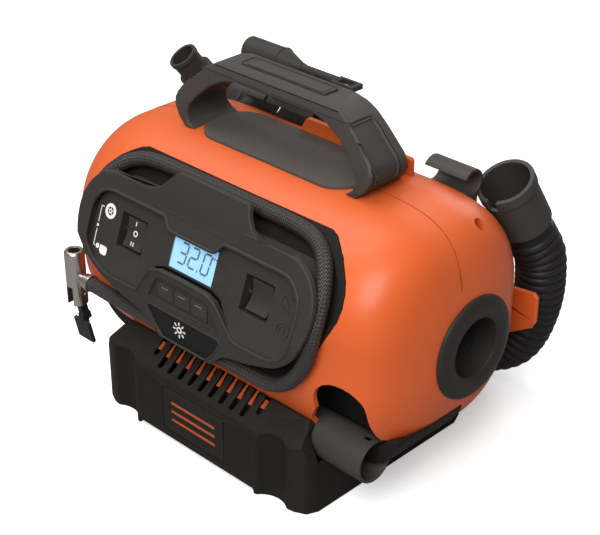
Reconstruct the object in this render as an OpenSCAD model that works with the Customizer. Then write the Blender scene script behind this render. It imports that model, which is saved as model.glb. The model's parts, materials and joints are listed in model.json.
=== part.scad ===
/* [Barrel housing] */
// Half length of the barrel housing to its rounded tip
barrel_half = 153.4; // [140:0.1:170]
// Half height and half depth of the barrel housing
barrel_r = 84; // [78:0.5:95]
// Half length at which the end is cut flat for the port ring
barrel_cap = 150; // [135:0.5:152]
// Half width of the flat band that squares up the round section
barrel_band = 14; // [8:0.5:20]
// Height of the barrel axis over the ground
barrel_z = 118.6; // [110:0.1:130]
// Distance of the barrel axis behind the middle of the base
barrel_y = 5.8; // [0:0.1:12]
// Wall of the moulded housings
wall = 3; // [2:0.25:4]
// Place of the seam between the front and the rear shell
seam_y = 4; // [0:0.5:10]

/* [Base] */
// Width of the base
base_w = 207; // [190:1:230]
// Distance from the middle of the base to its front wall
base_front = 88.8; // [80:0.2:96]
// Distance from the middle of the base to its rear edge
base_back = 83; // [75:0.5:92]
// Height of the upright part of the front wall
front_wall_h = 45; // [38:0.5:50]
// Height of the shelf where it meets the barrel
shelf_h = 67; // [60:0.5:72]
// Height of the rim beside the barrel
rim_h = 22; // [14:0.5:26]
// Number of vent slots in the shelf
vent_count = 11; // [5:2:13]
// Distance between two vent slots
vent_pitch = 10.3; // [8:0.1:12]
// Width of a vent slot
vent_w = 4.2; // [3:0.1:5]

/* [Console] */
// Lean of the console back from upright
panel_tilt = 20.5; // [10:0.5:30]
// Distance from the middle of the base forward to the display
panel_front = 82.3; // [78:0.1:90]
// Height of the middle of the display
panel_height = 154.9; // [145:0.1:165]
// Height at which the console face folds from leaning to upright
fold_z = 140; // [130:0.5:150]
// Half width of the front flange
flange_half = 110.5; // [105:0.5:114]
// Thickness of the front flange
flange_t = 4.5; // [3:0.5:6]
// Depth of the console floor below the flange face
console_depth = 5.8; // [5:0.1:8]
// Width of the display window
lcd_w = 41; // [36:0.5:46]
// Height of the display window
lcd_h = 23.7; // [20:0.5:27]
// Distance of each switch from the middle
switch_x = 60; // [54:0.5:66]

/* [Handle] */
// Height of the top of the handle
handle_top = 256; // [250:0.5:268]
// Half width of the handle at its widest
handle_half = 91; // [86:0.5:98]
// Thickness of the grip bar
grip_t = 11.5; // [10:0.5:16]
// Depth of the grip bar from front to back
grip_d = 29; // [26:0.5:36]
// Depth of a handle foot from front to back
handle_foot_d = 46; // [40:0.5:52]

/* [Ports and hoses] */
// Radius of the bore in each side port
port_r = 21; // [18:0.25:24]
// Outer radius of each port ring
port_ring_r = 36.5; // [32:0.5:40]
// Height of the port axis
port_z = 107.6; // [100:0.1:115]
// Distance of the port axis behind the middle of the base
port_y = 21.6; // [15:0.1:28]
// Outer diameter of the ribbed hose over its ribs
hose_od = 36; // [30:0.5:38]
// Bore of the ribbed hose
hose_bore = 27; // [22:0.5:28]
// Distance between two ribs of the hose
rib_pitch = 6.6; // [5.4:0.1:8]
// Diameter of the air hose in the console channel
air_hose_d = 10.5; // [9:0.1:11]
// Outer radius of the stored wide nozzle
tube_r = 15.6; // [14:0.1:17]
// Length of the stored wide nozzle
tube_len = 62; // [56:1:70]

/* [Tyre chuck] */
// Diameter of the chuck body
chuck_d = 15; // [13:0.5:17]
// Length of the chuck body
chuck_len = 43; // [38:0.5:48]
// Radius of the valve bore
valve_r = 4.2; // [3.9:0.05:4.6]

/* [Compressor and blower] */
// Teeth of the motor pinion
pinion_teeth = 12; // [10:1:14]
// Teeth of the crank gear
gear_teeth = 48; // [40:1:50]
// Gear module
gear_module = 1; // [0.9:0.05:1.1]
// Bore radius of the compressor cylinder
bore_r = 12; // [10:0.25:13]
// Throw of the crank
crank_throw = 8; // [6:0.5:9]
// Outer radius of the blower wheel
fan_r = 44; // [36:0.5:46]
// Number of blower blades
fan_blades = 9; // [7:1:12]

/* [Hidden] */
$fn = 64;
eps = 0.01;
fit = 0.3;
run_gap = 0.05;

orange = "#eb6428";
charcoal = "#3a3836";
grey = "#55504d";
silver = "#b8aea8";

// ---- barrel -------------------------------------------------------------
barrel_steps = 16;
end_power = 8;
side_power = 3.47;
function tip_x(t, a) = a * pow(cos(t), 2 / end_power);
function tip_r(t, r) = r * pow(sin(t), 2 / side_power);
function radius_at(x, a, r) = r * pow(max(1 - pow(abs(x) / a, end_power), 0), 1 / side_power);
// Points of the half profile, from the flat cap to the middle, as [x, radius over the band]
function profile_half(g) =
    let (a = barrel_half + g, r = barrel_r + g, cap = barrel_cap + g)
    concat([[cap, radius_at(cap, a, r) - barrel_band]],
        [for (i = [1 : barrel_steps])
            let (t = i * 90 / barrel_steps)
            if (tip_x(t, a) < cap - 1) [tip_x(t, a), tip_r(t, r) - barrel_band]]);
function flipped(list) = [for (i = [len(list) - 1 : -1 : 0]) [-list[i][0], list[i][1]]];
function profile(g) =
    let (h = profile_half(g), m = len(h) - 1)
    concat(h, [for (i = [m - 1 : -1 : 0]) [-h[i][0], h[i][1]]]);
function swap(list) = [for (p = list) [p[1], p[0]]];

// Closed barrel with a square-round section, grown by g on every side
module barrel(g = 0) {
    pts = profile(g);
    cap = barrel_cap + g;
    round_pts = concat([[0, cap]], swap(pts), [[0, -cap]]);
    flat_pts = concat([for (p = pts) [p[0], p[1] + barrel_band]],
        [for (i = [len(pts) - 1 : -1 : 0]) [pts[i][0], -pts[i][1] - barrel_band]]);
    translate([0, barrel_y, barrel_z]) {
        for (k = [0 : 3]) {
            sy = (k == 0 || k == 1) ? 1 : -1;
            sz = (k == 1 || k == 2) ? 1 : -1;
            translate([0, sy * barrel_band, sz * barrel_band])
                rotate([0, 90, 0]) rotate([0, 0, k * 90])
                    rotate_extrude(angle = 90, $fn = 96) polygon(round_pts);
        }
        rotate([90, 0, 0])
            linear_extrude(height = 2 * barrel_band, center = true) polygon(flat_pts);
        linear_extrude(height = 2 * barrel_band, center = true) polygon(flat_pts);
    }
}

// Skirt that joins the barrel to the base
skirt_x = base_w / 2 - 2;
skirt_front = 65;
skirt_back = base_back - 4;
skirt_top = barrel_z - 12;
module skirt(g = 0, low = 4) {
    translate([0, (skirt_back - skirt_front) / 2, low])
        linear_extrude(height = skirt_top - low)
            rounded_rect(2 * (skirt_x + g), skirt_back + skirt_front + 2 * g, 26 + g);
}

module rounded_rect(w, d, r) {
    square([w - 2 * r, d], center = true);
    square([w, d - 2 * r], center = true);
    for (sx = [-1, 1]) for (sy = [-1, 1])
        translate([sx * (w / 2 - r), sy * (d / 2 - r)]) circle(r = r);
}

// Wedge that takes away the skirt below its lower edge
rim_drop = 11;
module below_rim(extra = 0) {
    rotate([90, 0, 90])
        linear_extrude(height = base_w + 60, center = true)
            polygon([[-base_front - 20, -5], [-base_front - 20, shelf_h + extra],
                [-skirt_front + 4, shelf_h + extra], [-22, rim_h + 4 + extra], [0, rim_h + extra],
                [base_back + 60, rim_h - rim_drop - 9 + extra], [base_back + 60, -5]]);
}

// The outside of both orange shells as one body
module shell_outside() {
    barrel(0);
    difference() {
        skirt(0);
        below_rim(0);
    }
    for (sx = [-1, 1]) port_boss(sx);
}

boss_len = 16;
module port_boss(sx) {
    translate([sx * (barrel_cap - boss_len / 2), port_y, port_z]) rotate([0, 90, 0])
        cylinder(r = port_ring_r + 0.6, h = boss_len, center = true);
}

module shell_inside() {
    barrel(-wall);
    difference() {
        skirt(-wall, 0);
        below_rim(-wall);
    }
    translate([0, 0, -1]) skirt(-wall, 0);
}

tube_y = -53;
tube_z = 48;
tube_x0 = 73;
module tube_bore(r, x0) {
    translate([x0, tube_y, tube_z]) rotate([0, 90, 0]) cylinder(r = r, h = 160 - x0);
}

// Arched opening in the barrel through which the stored nozzle is taken out
arch_x = 119.5;
arch_top = 109;
arch_r = 17.5;
function arch_pts(g = 0) = concat([[arch_x - arch_r - 10 - g, 36], [arch_x - arch_r - 10 - g, 68]],
    [[arch_x - arch_r - g, 84]],
    [for (i = [0 : 12]) let (a = 180 - i * 15)
        [arch_x + (arch_r + g) * cos(a), arch_top - arch_r + (arch_r + g) * sin(a)]],
    [[arch_x + arch_r + g, 36]]);
module arch_cut() {
    translate([0, -30, 0]) rotate([90, 0, 0]) linear_extrude(height = 90) polygon(arch_pts());
    tube_bore(tube_r + 1, tube_x0 - 3);
}

// Dark liner of the hollow behind the arch
module nozzle_bay() {
    color("#222222") difference() {
        intersection() {
            translate([0, -34, 0]) rotate([90, 0, 0]) linear_extrude(height = 60)
                polygon([[70, 33], [70, 74], [80, 84], [92, 96], [101, 112], [141, 112], [141, 33]]);
            union() {
                barrel(-wall - 0.4);
                skirt(-wall - 0.4, 0);
            }
        }
        translate([0, -36, 0]) rotate([90, 0, 0]) linear_extrude(height = 60)
            polygon([[72, 30], [72, 73.2], [81.6, 82.8], [93.8, 95], [102.2, 110], [139, 110],
                [139, 30]]);
        tube_bore(tube_r + 0.6, tube_x0 - 2);
    }
}

// Cuts that both shells share
module shell_cuts() {
    for (sx = [-1, 1])
        translate([sx * barrel_cap, port_y, port_z]) rotate([0, 90, 0])
            cylinder(r = port_r + 4, h = 60, center = true);
    arch_cut();
}

module front_shell() {
    color(orange) difference() {
        intersection() {
            shell_outside();
            translate([-200, seam_y - 300, 0]) cube([400, 300, 300]);
        }
        shell_inside();
        shell_cuts();
        elevation(channel_pts(-0.2), -30);
    }
}

screw_head_r = 3.8;
screw_r = 1.8;
module at_shell_screws() {
    for (sx = [-1, 1]) translate([sx * 132, 36, 178]) rotate([0, sx * 35, 0]) children();
}
module rear_shell() {
    color(orange) difference() {
        intersection() {
            shell_outside();
            translate([-200, seam_y, 0]) cube([400, 300, 300]);
        }
        shell_inside();
        shell_cuts();
        at_shell_screws() cylinder(r = screw_head_r + 0.4, h = 30);
    }
    // bosses that carry the screws, down to the seat of each head
    color(orange) difference() {
        intersection() {
            at_shell_screws() translate([0, 0, -10]) cylinder(r = screw_head_r + 3, h = 30);
            barrel(-wall + 0.5);
        }
        at_shell_screws() {
            cylinder(r = screw_head_r + 0.4, h = 30);
            translate([0, 0, -20]) cylinder(r = screw_r + 0.3, h = 30);
        }
    }
}

// ---- hose guide block on the back ----------------------------------------
block_x = 88;
block_y = 150;
block_z0 = 55;
block_z1 = 104;
guide_y = 97;
guide_t = 3.5;
guide_x = 145;
module hose_guide_block() {
    r = 8;
    color(orange) difference() {
        union() {
            intersection() {
                translate([0, 0, block_z0]) linear_extrude(height = block_z1 - block_z0)
                    polygon([[-block_x, 40], [block_x, 40], [block_x, block_y - r],
                        [block_x - r, block_y], [-block_x + r, block_y], [-block_x, block_y - r]]);
                rotate([90, 0, 90]) linear_extrude(height = 2 * block_x + 2, center = true)
                    polygon([[40, block_z0], [block_y - 22, block_z0], [block_y, block_z0 + 10],
                        [block_y, block_z1 - 14], [block_y - 36, block_z1], [40, block_z1]]);
            }
            // wings that keep the ribbed hose against the block
            translate([0, guide_y + guide_t, 0]) rotate([90, 0, 0]) linear_extrude(height = guide_t)
                polygon(both([[0, block_z1 - 2], [block_x, block_z1 + 1], [guide_x - 3, block_z1 + 8],
                    [guide_x, block_z1 + 5], [guide_x, block_z1 - 14], [guide_x - 3, block_z1 - 20],
                    [block_x, block_z0 - 4], [0, block_z0 + 2]]));
        }
        barrel(0.2);
        skirt(0.2, 0);
        translate([-block_x + wall, 40, block_z0 + wall])
            cube([2 * (block_x - wall), block_y - 40 - 16, block_z1 - block_z0 - 14 - wall]);
        translate([socket_x, block_y, socket_z]) rotate([90, 0, 0])
            cylinder(r = socket_r + 0.05, h = 40, center = true);
    }
}

socket_x = -70;
socket_z = 76;
socket_r = 6;
jack_r = 2.75;
module power_socket() {
    color(charcoal) translate([socket_x, block_y + 1.2, socket_z]) rotate([90, 0, 0]) difference() {
        union() {
            cylinder(r = socket_r + 2.5, h = 1.2);
            cylinder(r = socket_r, h = 20);
        }
        translate([0, 0, -1]) cylinder(r = jack_r, h = 14);
    }
}

// ---- base ----------------------------------------------------------------
flute_x = 75;
flute_r = 17;
flute_out = 9;
base_floor = 7;
// Scoop in the front wall over each front foot
module flute(s, g = 0) {
    translate([s * flute_x, -base_front - flute_out, 5]) {
        translate([0, 0, -10]) cylinder(r = flute_r + g, h = shelf_h - 16);
        translate([0, 0, shelf_h - 26]) sphere(r = flute_r + g);
    }
}
module base_plan(inset = 0) {
    hw = base_w / 2 - inset;
    f = base_front - inset;
    polygon([[-56, -f], [56, -f], [62, -f + 0.8], [hw - 12, -f + 5], [hw - 3.5, -f + 9],
        [hw, -f + 17], [hw, base_back - 14 - inset], [hw - 4, base_back - 4 - inset],
        [hw - 13, base_back - inset], [-hw + 13, base_back - inset],
        [-hw + 4, base_back - 4 - inset], [-hw, base_back - 14 - inset], [-hw, -f + 17],
        [-hw + 3.5, -f + 9], [-hw + 12, -f + 5], [-62, -f + 0.8]]);
}

module base_side(g = 0) {
    f = base_front + g;
    rotate([90, 0, 90]) linear_extrude(height = base_w + 20, center = true)
        polygon([[-f, -1], [-f, front_wall_h + g], [-f + 3.5, front_wall_h + 6 + g],
            [-skirt_front + 3, shelf_h + g], [-skirt_front + 8, shelf_h + g],
            [-22, rim_h + 4 + g], [0, rim_h + g], [base_back + 1, rim_h - rim_drop + g],
            [base_back + 1, -1]]);
}

module base_outline(g = 0) {
    hw = base_w / 2 + g;
    rotate([90, 0, 0]) linear_extrude(height = 220, center = true)
        polygon([[-hw, -1], [-hw - 1, 28], [-hw + 1, 41 + g], [-hw + 11, 60 + g],
            [-hw + 22, shelf_h + 4 + g], [hw - 22, shelf_h + 4 + g], [hw - 11, 60 + g],
            [hw - 1, 41 + g], [hw + 1, 28], [hw, -1]]);
}

// Row of slots that follows the slope of the shelf
module vent_slots() {
    slope = atan2(shelf_h - front_wall_h - 6, base_front - skirt_front - 0.5);
    for (i = [0 : vent_count - 1]) {
        x = (i - (vent_count - 1) / 2) * vent_pitch;
        short = (i == 0 || i == vent_count - 1) ? 6 : 0;
        len = 22 - short;
        translate([x, -skirt_front - 9 + short / 2, front_wall_h + 15 + short / 3])
            rotate([slope, 0, 0]) {
                cube([vent_w, len - vent_w, 22], center = true);
                for (s = [-1, 1]) translate([0, s * (len - vent_w) / 2, 0])
                    cylinder(r = vent_w / 2, h = 22, center = true);
            }
    }
}

module base_tray() {
    color(charcoal) difference() {
        union() {
            difference() {
                intersection() {
                    translate([0, 0, 0]) linear_extrude(height = 90) base_plan();
                    base_side();
                    base_outline();
                }
                intersection() {
                    translate([0, 0, base_floor]) linear_extrude(height = 90) base_plan(wall);
                    base_side(-wall);
                    base_outline(-wall);
                    translate([-200, -200, base_floor]) cube([400, 400, 200]);
                    difference() {
                        translate([-200, -200, 0]) cube([400, 400, 200]);
                        for (s = [-1, 1]) flute(s, wall);
                        translate([-plate_w / 2 - 3, -base_front - 1, 0])
                            cube([plate_w + 6, 6, plate_z + plate_h / 2 + 3]);
                    }
                }
                skirt(fit, rim_h - rim_drop - 0.5);
                barrel(fit);
            }
            // saddle under the stored wide nozzle
            translate([tube_x0 + 1.5, -61, base_floor - eps]) cube([23, 24, tube_z - base_floor - 4]);
        }
        vent_slots();
        tube_bore(tube_r + fit, tube_x0 - fit);
        // step beside the shelf where the nozzle comes out
        translate([92.5, -71, tube_z - 10]) cube([30, 50, 60]);
        for (s = [-1, 1]) flute(s);
        // lifted lower edge between the front feet
        translate([-58, -base_front - 1, -1]) cube([116, 24, 5]);
        translate([-plate_w / 2 - 0.2, -base_front - 1, plate_z - plate_h / 2 - 0.2])
            cube([plate_w + 0.4, 2.4, plate_h + 0.4]);
        for (p = foot_places) translate([p[0], p[1], -1]) cylinder(r = foot_r + 0.1, h = 2.6);
        for (p = base_screw_places) translate([p[0], p[1], -1]) {
            cylinder(r = 4.2, h = 3);
            cylinder(r = 2.2, h = 9);
        }
    }
}

plate_w = 60;
plate_h = 34;
plate_z = 28;
module name_plate() {
    color(charcoal) translate([-plate_w / 2, -base_front + 0.2, plate_z - plate_h / 2])
        difference() {
            cube([plate_w, 1.2, plate_h]);
            for (i = [0 : 2]) translate([8, -0.4, 9 + 7 * i]) cube([plate_w - 16, 0.8, 2.4]);
        }
}

foot_r = 7;
foot_places = [[-84, -66], [84, -66], [-86, 64], [86, 64]];
module base_feet() {
    color("#222222") for (p = foot_places) translate([p[0], p[1], 0]) difference() {
        cylinder(r = foot_r, h = 1.6);
        translate([0, 0, -0.4]) cylinder(r = foot_r - 3, h = 0.8);
    }
}

base_screw_places = [[-60, -58], [60, 58], [-60, 58], [0, 58]];
module base_screws() {
    color(silver) for (p = base_screw_places) translate([p[0], p[1], 0.4]) difference() {
        union() {
            cylinder(r = 4, h = 1.5);
            cylinder(r = 2, h = 9);
        }
        translate([-3, -0.5, -1]) cube([6, 1, 1.6]);
        translate([-0.5, -3, -1]) cube([1, 6, 1.6]);
    }
}

// ---- console ---------------------------------------------------------------
// Places its children in the console's own frame: x across, y up, z out of the face
module at_panel(off = 0) {
    translate([0, -panel_front, panel_height]) rotate([90 - panel_tilt, 0, 0])
        translate([0, 0, off]) children();
}

function arc(cx, cy, r, a0, a1, n) =
    [for (i = [0 : n]) let (a = a0 + (a1 - a0) * i / n) [cx + r * cos(a), cy + r * sin(a)]];
function mirrored(list) = [for (i = [len(list) - 1 : -1 : 0]) [-list[i][0], list[i][1]]];
function both(list) = concat(list, mirrored(list));

// Pushes an outline drawn in x and z forward from the plane y = y0
module elevation(pts, y0, y1 = -150) {
    translate([0, y0, 0]) rotate([90, 0, 0]) linear_extrude(height = y0 - y1) polygon(both(pts));
}

// The face leans back above the fold and stands upright below it
face_slope = tan(panel_tilt);
face_y = panel_front + (panel_height - fold_z) * face_slope + console_depth / cos(panel_tilt);
floor_fold = panel_height + (panel_front - face_y) / face_slope;
module band(front, back, fold = fold_z) {
    rise = (260 - fold) * face_slope;
    rotate([90, 0, 90]) linear_extrude(height = 300, center = true)
        polygon([[-face_y + front, 30], [-face_y + front, fold], [-face_y + front + rise, 260],
            [-face_y + back + rise, 260], [-face_y + back, fold], [-face_y + back, 30]]);
}

// Right half of the flange outline, from the top middle round to the bottom middle
flange_top = 187.5;
function flange_pts(i = 0) = concat(
    [[0, flange_top - i]],
    arc(flange_half - 30.5, flange_top - 30.5, 30.5 - i, 90, 0, 9),
    arc(flange_half - 47.5, flange_top - 30.5, 47.5 - i, -8, -75, 9),
    [[60, 106.5 + i], [44, 103.5 + i], [37 - i / 2, 101 + i], [25 - i / 2, 90.5 + i],
        [0, 90.5 + i]]);

// Right half of the sunken console floor: a wide lobe and a narrow neck
function floor_pts(i = 0) = concat(
    [[0, 168 - i], [21 + i, 168 - i], [28 + i, 175.8 - i]],
    arc(80, 157.3, 18.5 - i, 90, 0, 7),
    arc(72.5, 143.5, 26 - i, 0, -85, 8),
    [[58, 117.3 + i], [46.5 + i / 2, 118 + i], [38.5, 130 + i], [31, 139.5 + i], [23, 142 + i],
        [0, 142.3 + i]]);

// Right half of the outline of the hose channel let into the front shell
channel_mid = 131;
channel_list = [[0, 193.3], [86, 193.3], [92, 191.8], [98, 188.8], [104.5, 184.8], [110, 179.6],
    [114, 175], [117, 169], [118.5, 161], [117.5, 153], [114, 145], [106, 129.5], [100, 117],
    [91, 102], [83, 93], [71, 84], [60, 77], [0, 70]];
function channel_pts(i = 0) = [for (p = channel_list)
    [p[0] * (1 - i / 118.5), channel_mid + (p[1] - channel_mid) * (1 - i / 61.5)]];

hub_in = 9.2;
hub_t = 2;
hub_edge = 8;
channel_depth = 3;
module channel_plate() {
    color(charcoal) difference() {
        union() {
            intersection() {
                barrel(-channel_depth);
                elevation(channel_pts(0), -30);
            }
            intersection() {
                barrel(0.4);
                elevation(channel_pts(0), -30);
                difference() {
                    translate([-150, -150, 0]) cube([300, 120, 230]);
                    elevation(channel_pts(3.5), -20);
                }
            }
        }
        barrel(-channel_depth - 2.5);
        elevation(flange_pts(hub_in + hub_edge), -20);
    }
}

elbow_x = 106;
elbow_y = -83.5;
elbow_z = 126;
module console_hub() {
    color(charcoal) difference() {
        union() {
            elevation(flange_pts(hub_in), -30);
            elevation(floor_pts(-0.4 - hub_t), -30);
            translate([-elbow_x, elbow_y, elbow_z - 6]) cylinder(r = air_hose_d / 2 + 0.7, h = 14);
            translate([-elbow_x, elbow_y, elbow_z]) rotate([0, 90, 0]) cylinder(r = 4.5, h = 9);
        }
        elevation(flange_pts(hub_in + hub_t), -20);
        elevation(floor_pts(-0.4), -20);
        band(-90, flange_t);
        barrel(0.1 - channel_depth);
        translate([-elbow_x, elbow_y, elbow_z + 4]) cylinder(r = air_hose_d / 2 + 0.1, h = 5);
    }
}

hood_half = 39;
module front_flange() {
    color(charcoal) difference() {
        union() {
            intersection() {
                elevation(flange_pts(0), -30);
                band(0, flange_t);
            }
            // hood that bridges the channel over the display
            rotate([90, 0, 90]) linear_extrude(height = 2 * hood_half, center = true)
                polygon([[-79.9, 178], [-76.6, 187], [-74.3, 191], [-70.3, 194.3], [-64, 196.4],
                    [-54, 197], [-46, 195.6], [-41.5, 193.4], [-43, 190], [-48, 193], [-54, 194.4],
                    [-63, 193.8], [-68.5, 191.8], [-71.4, 188.6], [-73, 185], [-75.4, 178]]);
        }
        elevation(floor_pts(0), -30);
        intersection() {
            elevation(key_pts(), -30);
            band(-1, 1);
        }
        for (i = [-1 : 1]) translate([i * key_pitch, 0, key_z])
            cube([key_w + 2 * fit, 300, key_h + 2 * fit], center = true);
        elevation(light_pts(-0.2), -30);
        barrel(0.7);
    }
}

// Sunken field round the three keys
function key_pts() = [[0, 136.5], [23.5, 136.5], [33.5, 119], [0, 119]];
key_pitch = 16.4;
key_w = 15;
key_h = 11;
key_z = 127.5;
module key(i) {
    translate([i * key_pitch, -face_y, key_z]) {
        translate([-key_w / 2, 0.3, -key_h / 2]) cube([key_w, flange_t, key_h]);
        translate([-key_w / 2 - 0.6, flange_t + 0.1, -key_h / 2 - 1])
            cube([key_w + 1.2, 1.4, key_h + 2]);
    }
}
module button_left() { color(charcoal) key(-1); }
module button_mid() { color(charcoal) key(0); }
module button_right() { color(charcoal) key(1); }

// Window of the work light, which is pressed to switch it
function light_pts(g = 0) = [[0, 112.6 - g], [34 - g, 112.6 - g], [34.3 - g, 110], [28 - g, 100.5],
    [20.5 - g, 93 + g], [0, 93 + g]];
light_mark = [-4, 104];
module light_button() {
    color("#1c1b1a") difference() {
        elevation(light_pts(0), -face_y + flange_t - 1.2, -face_y + 0.6);
        translate([light_mark[0], -face_y + 0.9, light_mark[1]]) rotate([90, 0, 0]) {
            for (a = [0 : 45 : 315]) rotate([0, 0, a]) translate([2.6, -0.35, 0])
                cube([1.6, 0.7, 1]);
            difference() {
                cylinder(r = 1.7, h = 1);
                translate([0, 0, -1]) cylinder(r = 0.9, h = 3);
            }
        }
    }
}

rocker_w = 18;
rocker_l = 20;
well_w = 25;
well_l = 24;
well_y = -4;
module well(grow, h, z) {
    translate([-well_w / 2 - grow, -well_l / 2 - grow, z])
        cube([well_w + 2 * grow, well_l + 2 * grow, h]);
}

pivot_off = -7;
pivot_r = 1.5;
floor_t = 3;
module console_panel() {
    color(charcoal) difference() {
        union() {
            intersection() {
                elevation(floor_pts(0.15), -30);
                band(0, floor_t, floor_fold);
            }
            for (s = [-1, 1]) at_panel() translate([s * switch_x, well_y, 0]) well(1.4, 12, -14);
        }
        at_panel() {
            for (s = [-1, 1]) translate([s * switch_x, well_y, 0]) {
                well(0, 40, -12.5);
                translate([0, 0, pivot_off]) rotate([0, 90, 0])
                    cylinder(r = pivot_r + run_gap, h = well_w + 4, center = true);
            }
            translate([-lcd_w / 2, -lcd_h / 2, -10]) cube([lcd_w, lcd_h, 20]);
            translate([-lcd_w / 2 - 1.5, -lcd_h / 2 - 1.5, -5]) cube([lcd_w + 3, lcd_h + 3, 4]);
        }
    }
}

module lcd_window() {
    color([0.65, 0.84, 0.98, 0.6]) at_panel()
        translate([-lcd_w / 2 + 0.1, -lcd_h / 2 + 0.1, -1]) cube([lcd_w - 0.2, lcd_h - 0.2, 0.9]);
}

module lcd_module() {
    color("#a6d8f8") at_panel() translate([-lcd_w / 2 - 1, -lcd_h / 2 - 1, -4.6])
        cube([lcd_w + 2, lcd_h + 2, 3.5]);
}

board_off = -9;
module control_board() {
    color("#2c5a36") at_panel() difference() {
        union() {
            translate([-43, -24, board_off]) cube([86, 38, 1.6]);
            translate([-20, -8, board_off + 1.5]) cube([40, 16, 2.8]);
            for (x = [-34, 34]) translate([x, 2, board_off + 1.5]) cylinder(r = 2.5, h = 4.4);
        }
        for (x = [-39, 39]) for (y = [-20, 10])
            translate([x, y, board_off - 1]) cylinder(r = 1.6, h = 4);
    }
}

module switch_body(s) {
    at_panel() translate([s * switch_x, well_y, -15]) {
        translate([-9.5, -10, -7]) cube([19, 20, 7.9]);
        for (x = [-5, 5]) translate([x - 0.4, -3, -12]) cube([0.8, 6, 5.2]);
    }
}
module left_switch_body() { color("#222222") switch_body(-1); }
module right_switch_body() { color("#222222") switch_body(1); }

// Rocker with a shallow V face and two stub pins in the walls of its well
module rocker(s, dish) {
    at_panel() translate([s * switch_x, well_y, pivot_off]) {
        rotate([90, 0, 90]) linear_extrude(height = rocker_w, center = true)
            polygon([[-rocker_l / 2, -2], [-rocker_l / 2 - 0.5, 5], [-rocker_l / 4, 4.5 - dish],
                [0, 4 - dish], [rocker_l / 4, 4.5 - dish], [rocker_l / 2 + 0.5, 5],
                [rocker_l / 2, -2], [3, -4], [-3, -4]]);
        rotate([0, 90, 0]) cylinder(r = pivot_r, h = well_w + 2, center = true);
    }
}
module left_rocker() { color(grey) rocker(-1, 1); }
module right_rocker() { color(grey) rocker(1, 2); }

// ---- top pad and handle ------------------------------------------------------
pad_half = 74;
pad_y0 = -18;
pad_y1 = 36;
module top_pad() {
    color(grey) intersection() {
        difference() {
            barrel(1.8);
            barrel(0.1);
        }
        translate([0, (pad_y0 + pad_y1) / 2, barrel_z]) linear_extrude(height = 100)
            rounded_rect(2 * pad_half - 8, pad_y1 - pad_y0, 20);
    }
}

// Heights on the legs are shares of the rise from foot_z to the top
foot_z = barrel_z + barrel_r - 8.6;
function leg_z(t, drop) = foot_z + (1 - drop / 62) * (t - foot_z);
module handle_side(inner, g = 0) {
    t = handle_top - g;
    h = handle_half - g;
    polygon(inner
        ? both([[0, t - grip_t], [36, t - grip_t], [48, t - grip_t - 3], [60, t - grip_t - 9.5],
            [70, leg_z(t, 30)], [76, leg_z(t, 37)], [78, leg_z(t, 43)], [76, leg_z(t, 50)],
            [66, foot_z + 6], [66, foot_z - 18], [0, foot_z - 18]])
        : both([[0, t], [45, t - 0.5], [57, t - 3.5], [66, t - 8.5], [74, leg_z(t, 15.5)],
            [h - 10, leg_z(t, 22.5)], [h - 2.5, leg_z(t, 30)], [h, leg_z(t, 35)],
            [h - 0.5, leg_z(t, 41)], [h - 5, leg_z(t, 48)], [h - 10, foot_z + 9.5],
            [h - 17, foot_z + 4], [0, foot_z]]));
}

// Side view of the handle: deep at the feet and narrower at the grip
module handle_section() {
    t = handle_top;
    d = grip_d / 2;
    f = handle_foot_d / 2;
    translate([0, 6, 0]) rotate([90, 0, 90])
        linear_extrude(height = 2 * handle_half + 20, center = true)
            polygon([[-f, foot_z], [-f + 1, leg_z(t, 50)], [-f + 2.5, leg_z(t, 36)],
                [-d - 2, leg_z(t, 20)], [-d, t - 9], [-d + 1.5, t - 4], [-d + 5, t - 0.6],
                [0, t + 1], [d - 4, t], [d - 1, t - 2], [d, t - 6], [d + 0.5, leg_z(t, 34)],
                [f - 5, leg_z(t, 46)], [f - 1, leg_z(t, 54)], [f, foot_z]]);
}

module handle_frame() {
    color(charcoal) difference() {
        intersection() {
            translate([0, 60, 0]) rotate([90, 0, 0]) linear_extrude(height = 120)
                difference() {
                    handle_side(false);
                    handle_side(true);
                }
            handle_section();
        }
        barrel(0.1);
        translate([-inlay_w / 2 - 0.2, 6 - inlay_d / 2, handle_top - 1.2])
            cube([inlay_w + 0.4, inlay_d, 5]);
        // shallow panels on the outer faces of the legs
        for (s = [-1, 1]) intersection() {
            translate([0, 12, 0]) rotate([90, 0, 0]) linear_extrude(height = 22) difference() {
                handle_side(false, -1);
                handle_side(false, 0.8);
            }
            translate([s * 100, 0, handle_top - 27]) cube([72, 60, 34], center = true);
        }
    }
}

inlay_w = 76;
inlay_d = 13;
module grip_inlay() {
    color(grey) translate([0, 6, handle_top - 1.15]) {
        translate([-inlay_w / 2, -inlay_d / 2 + 0.2, 0]) cube([inlay_w, inlay_d - 0.4, 0.9]);
        for (i = [-5 : 5]) translate([i * 6.4 - 1, -inlay_d / 2 + 1.4, 0.8])
            cube([2, inlay_d - 2.8, 0.7]);
    }
}

// ---- side ports and blower ------------------------------------------------------
ring_t = 5;
module port_ring(s) {
    translate([s * barrel_cap, port_y, port_z]) rotate([0, s * 90, 0])
        rotate_extrude($fn = 96)
            polygon([[port_r, -14], [port_r + 3.6, -14], [port_r + 3.6, 0],
                [port_ring_r, 0], [port_ring_r, 1.6], [port_ring_r - 2, 3.2],
                [port_ring_r - 8, ring_t], [port_r + 4, ring_t], [port_r, ring_t - 2]]);
}
module port_ring_left() { color(grey) port_ring(-1); }
module port_ring_right() { color(grey) port_ring(1); }

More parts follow.
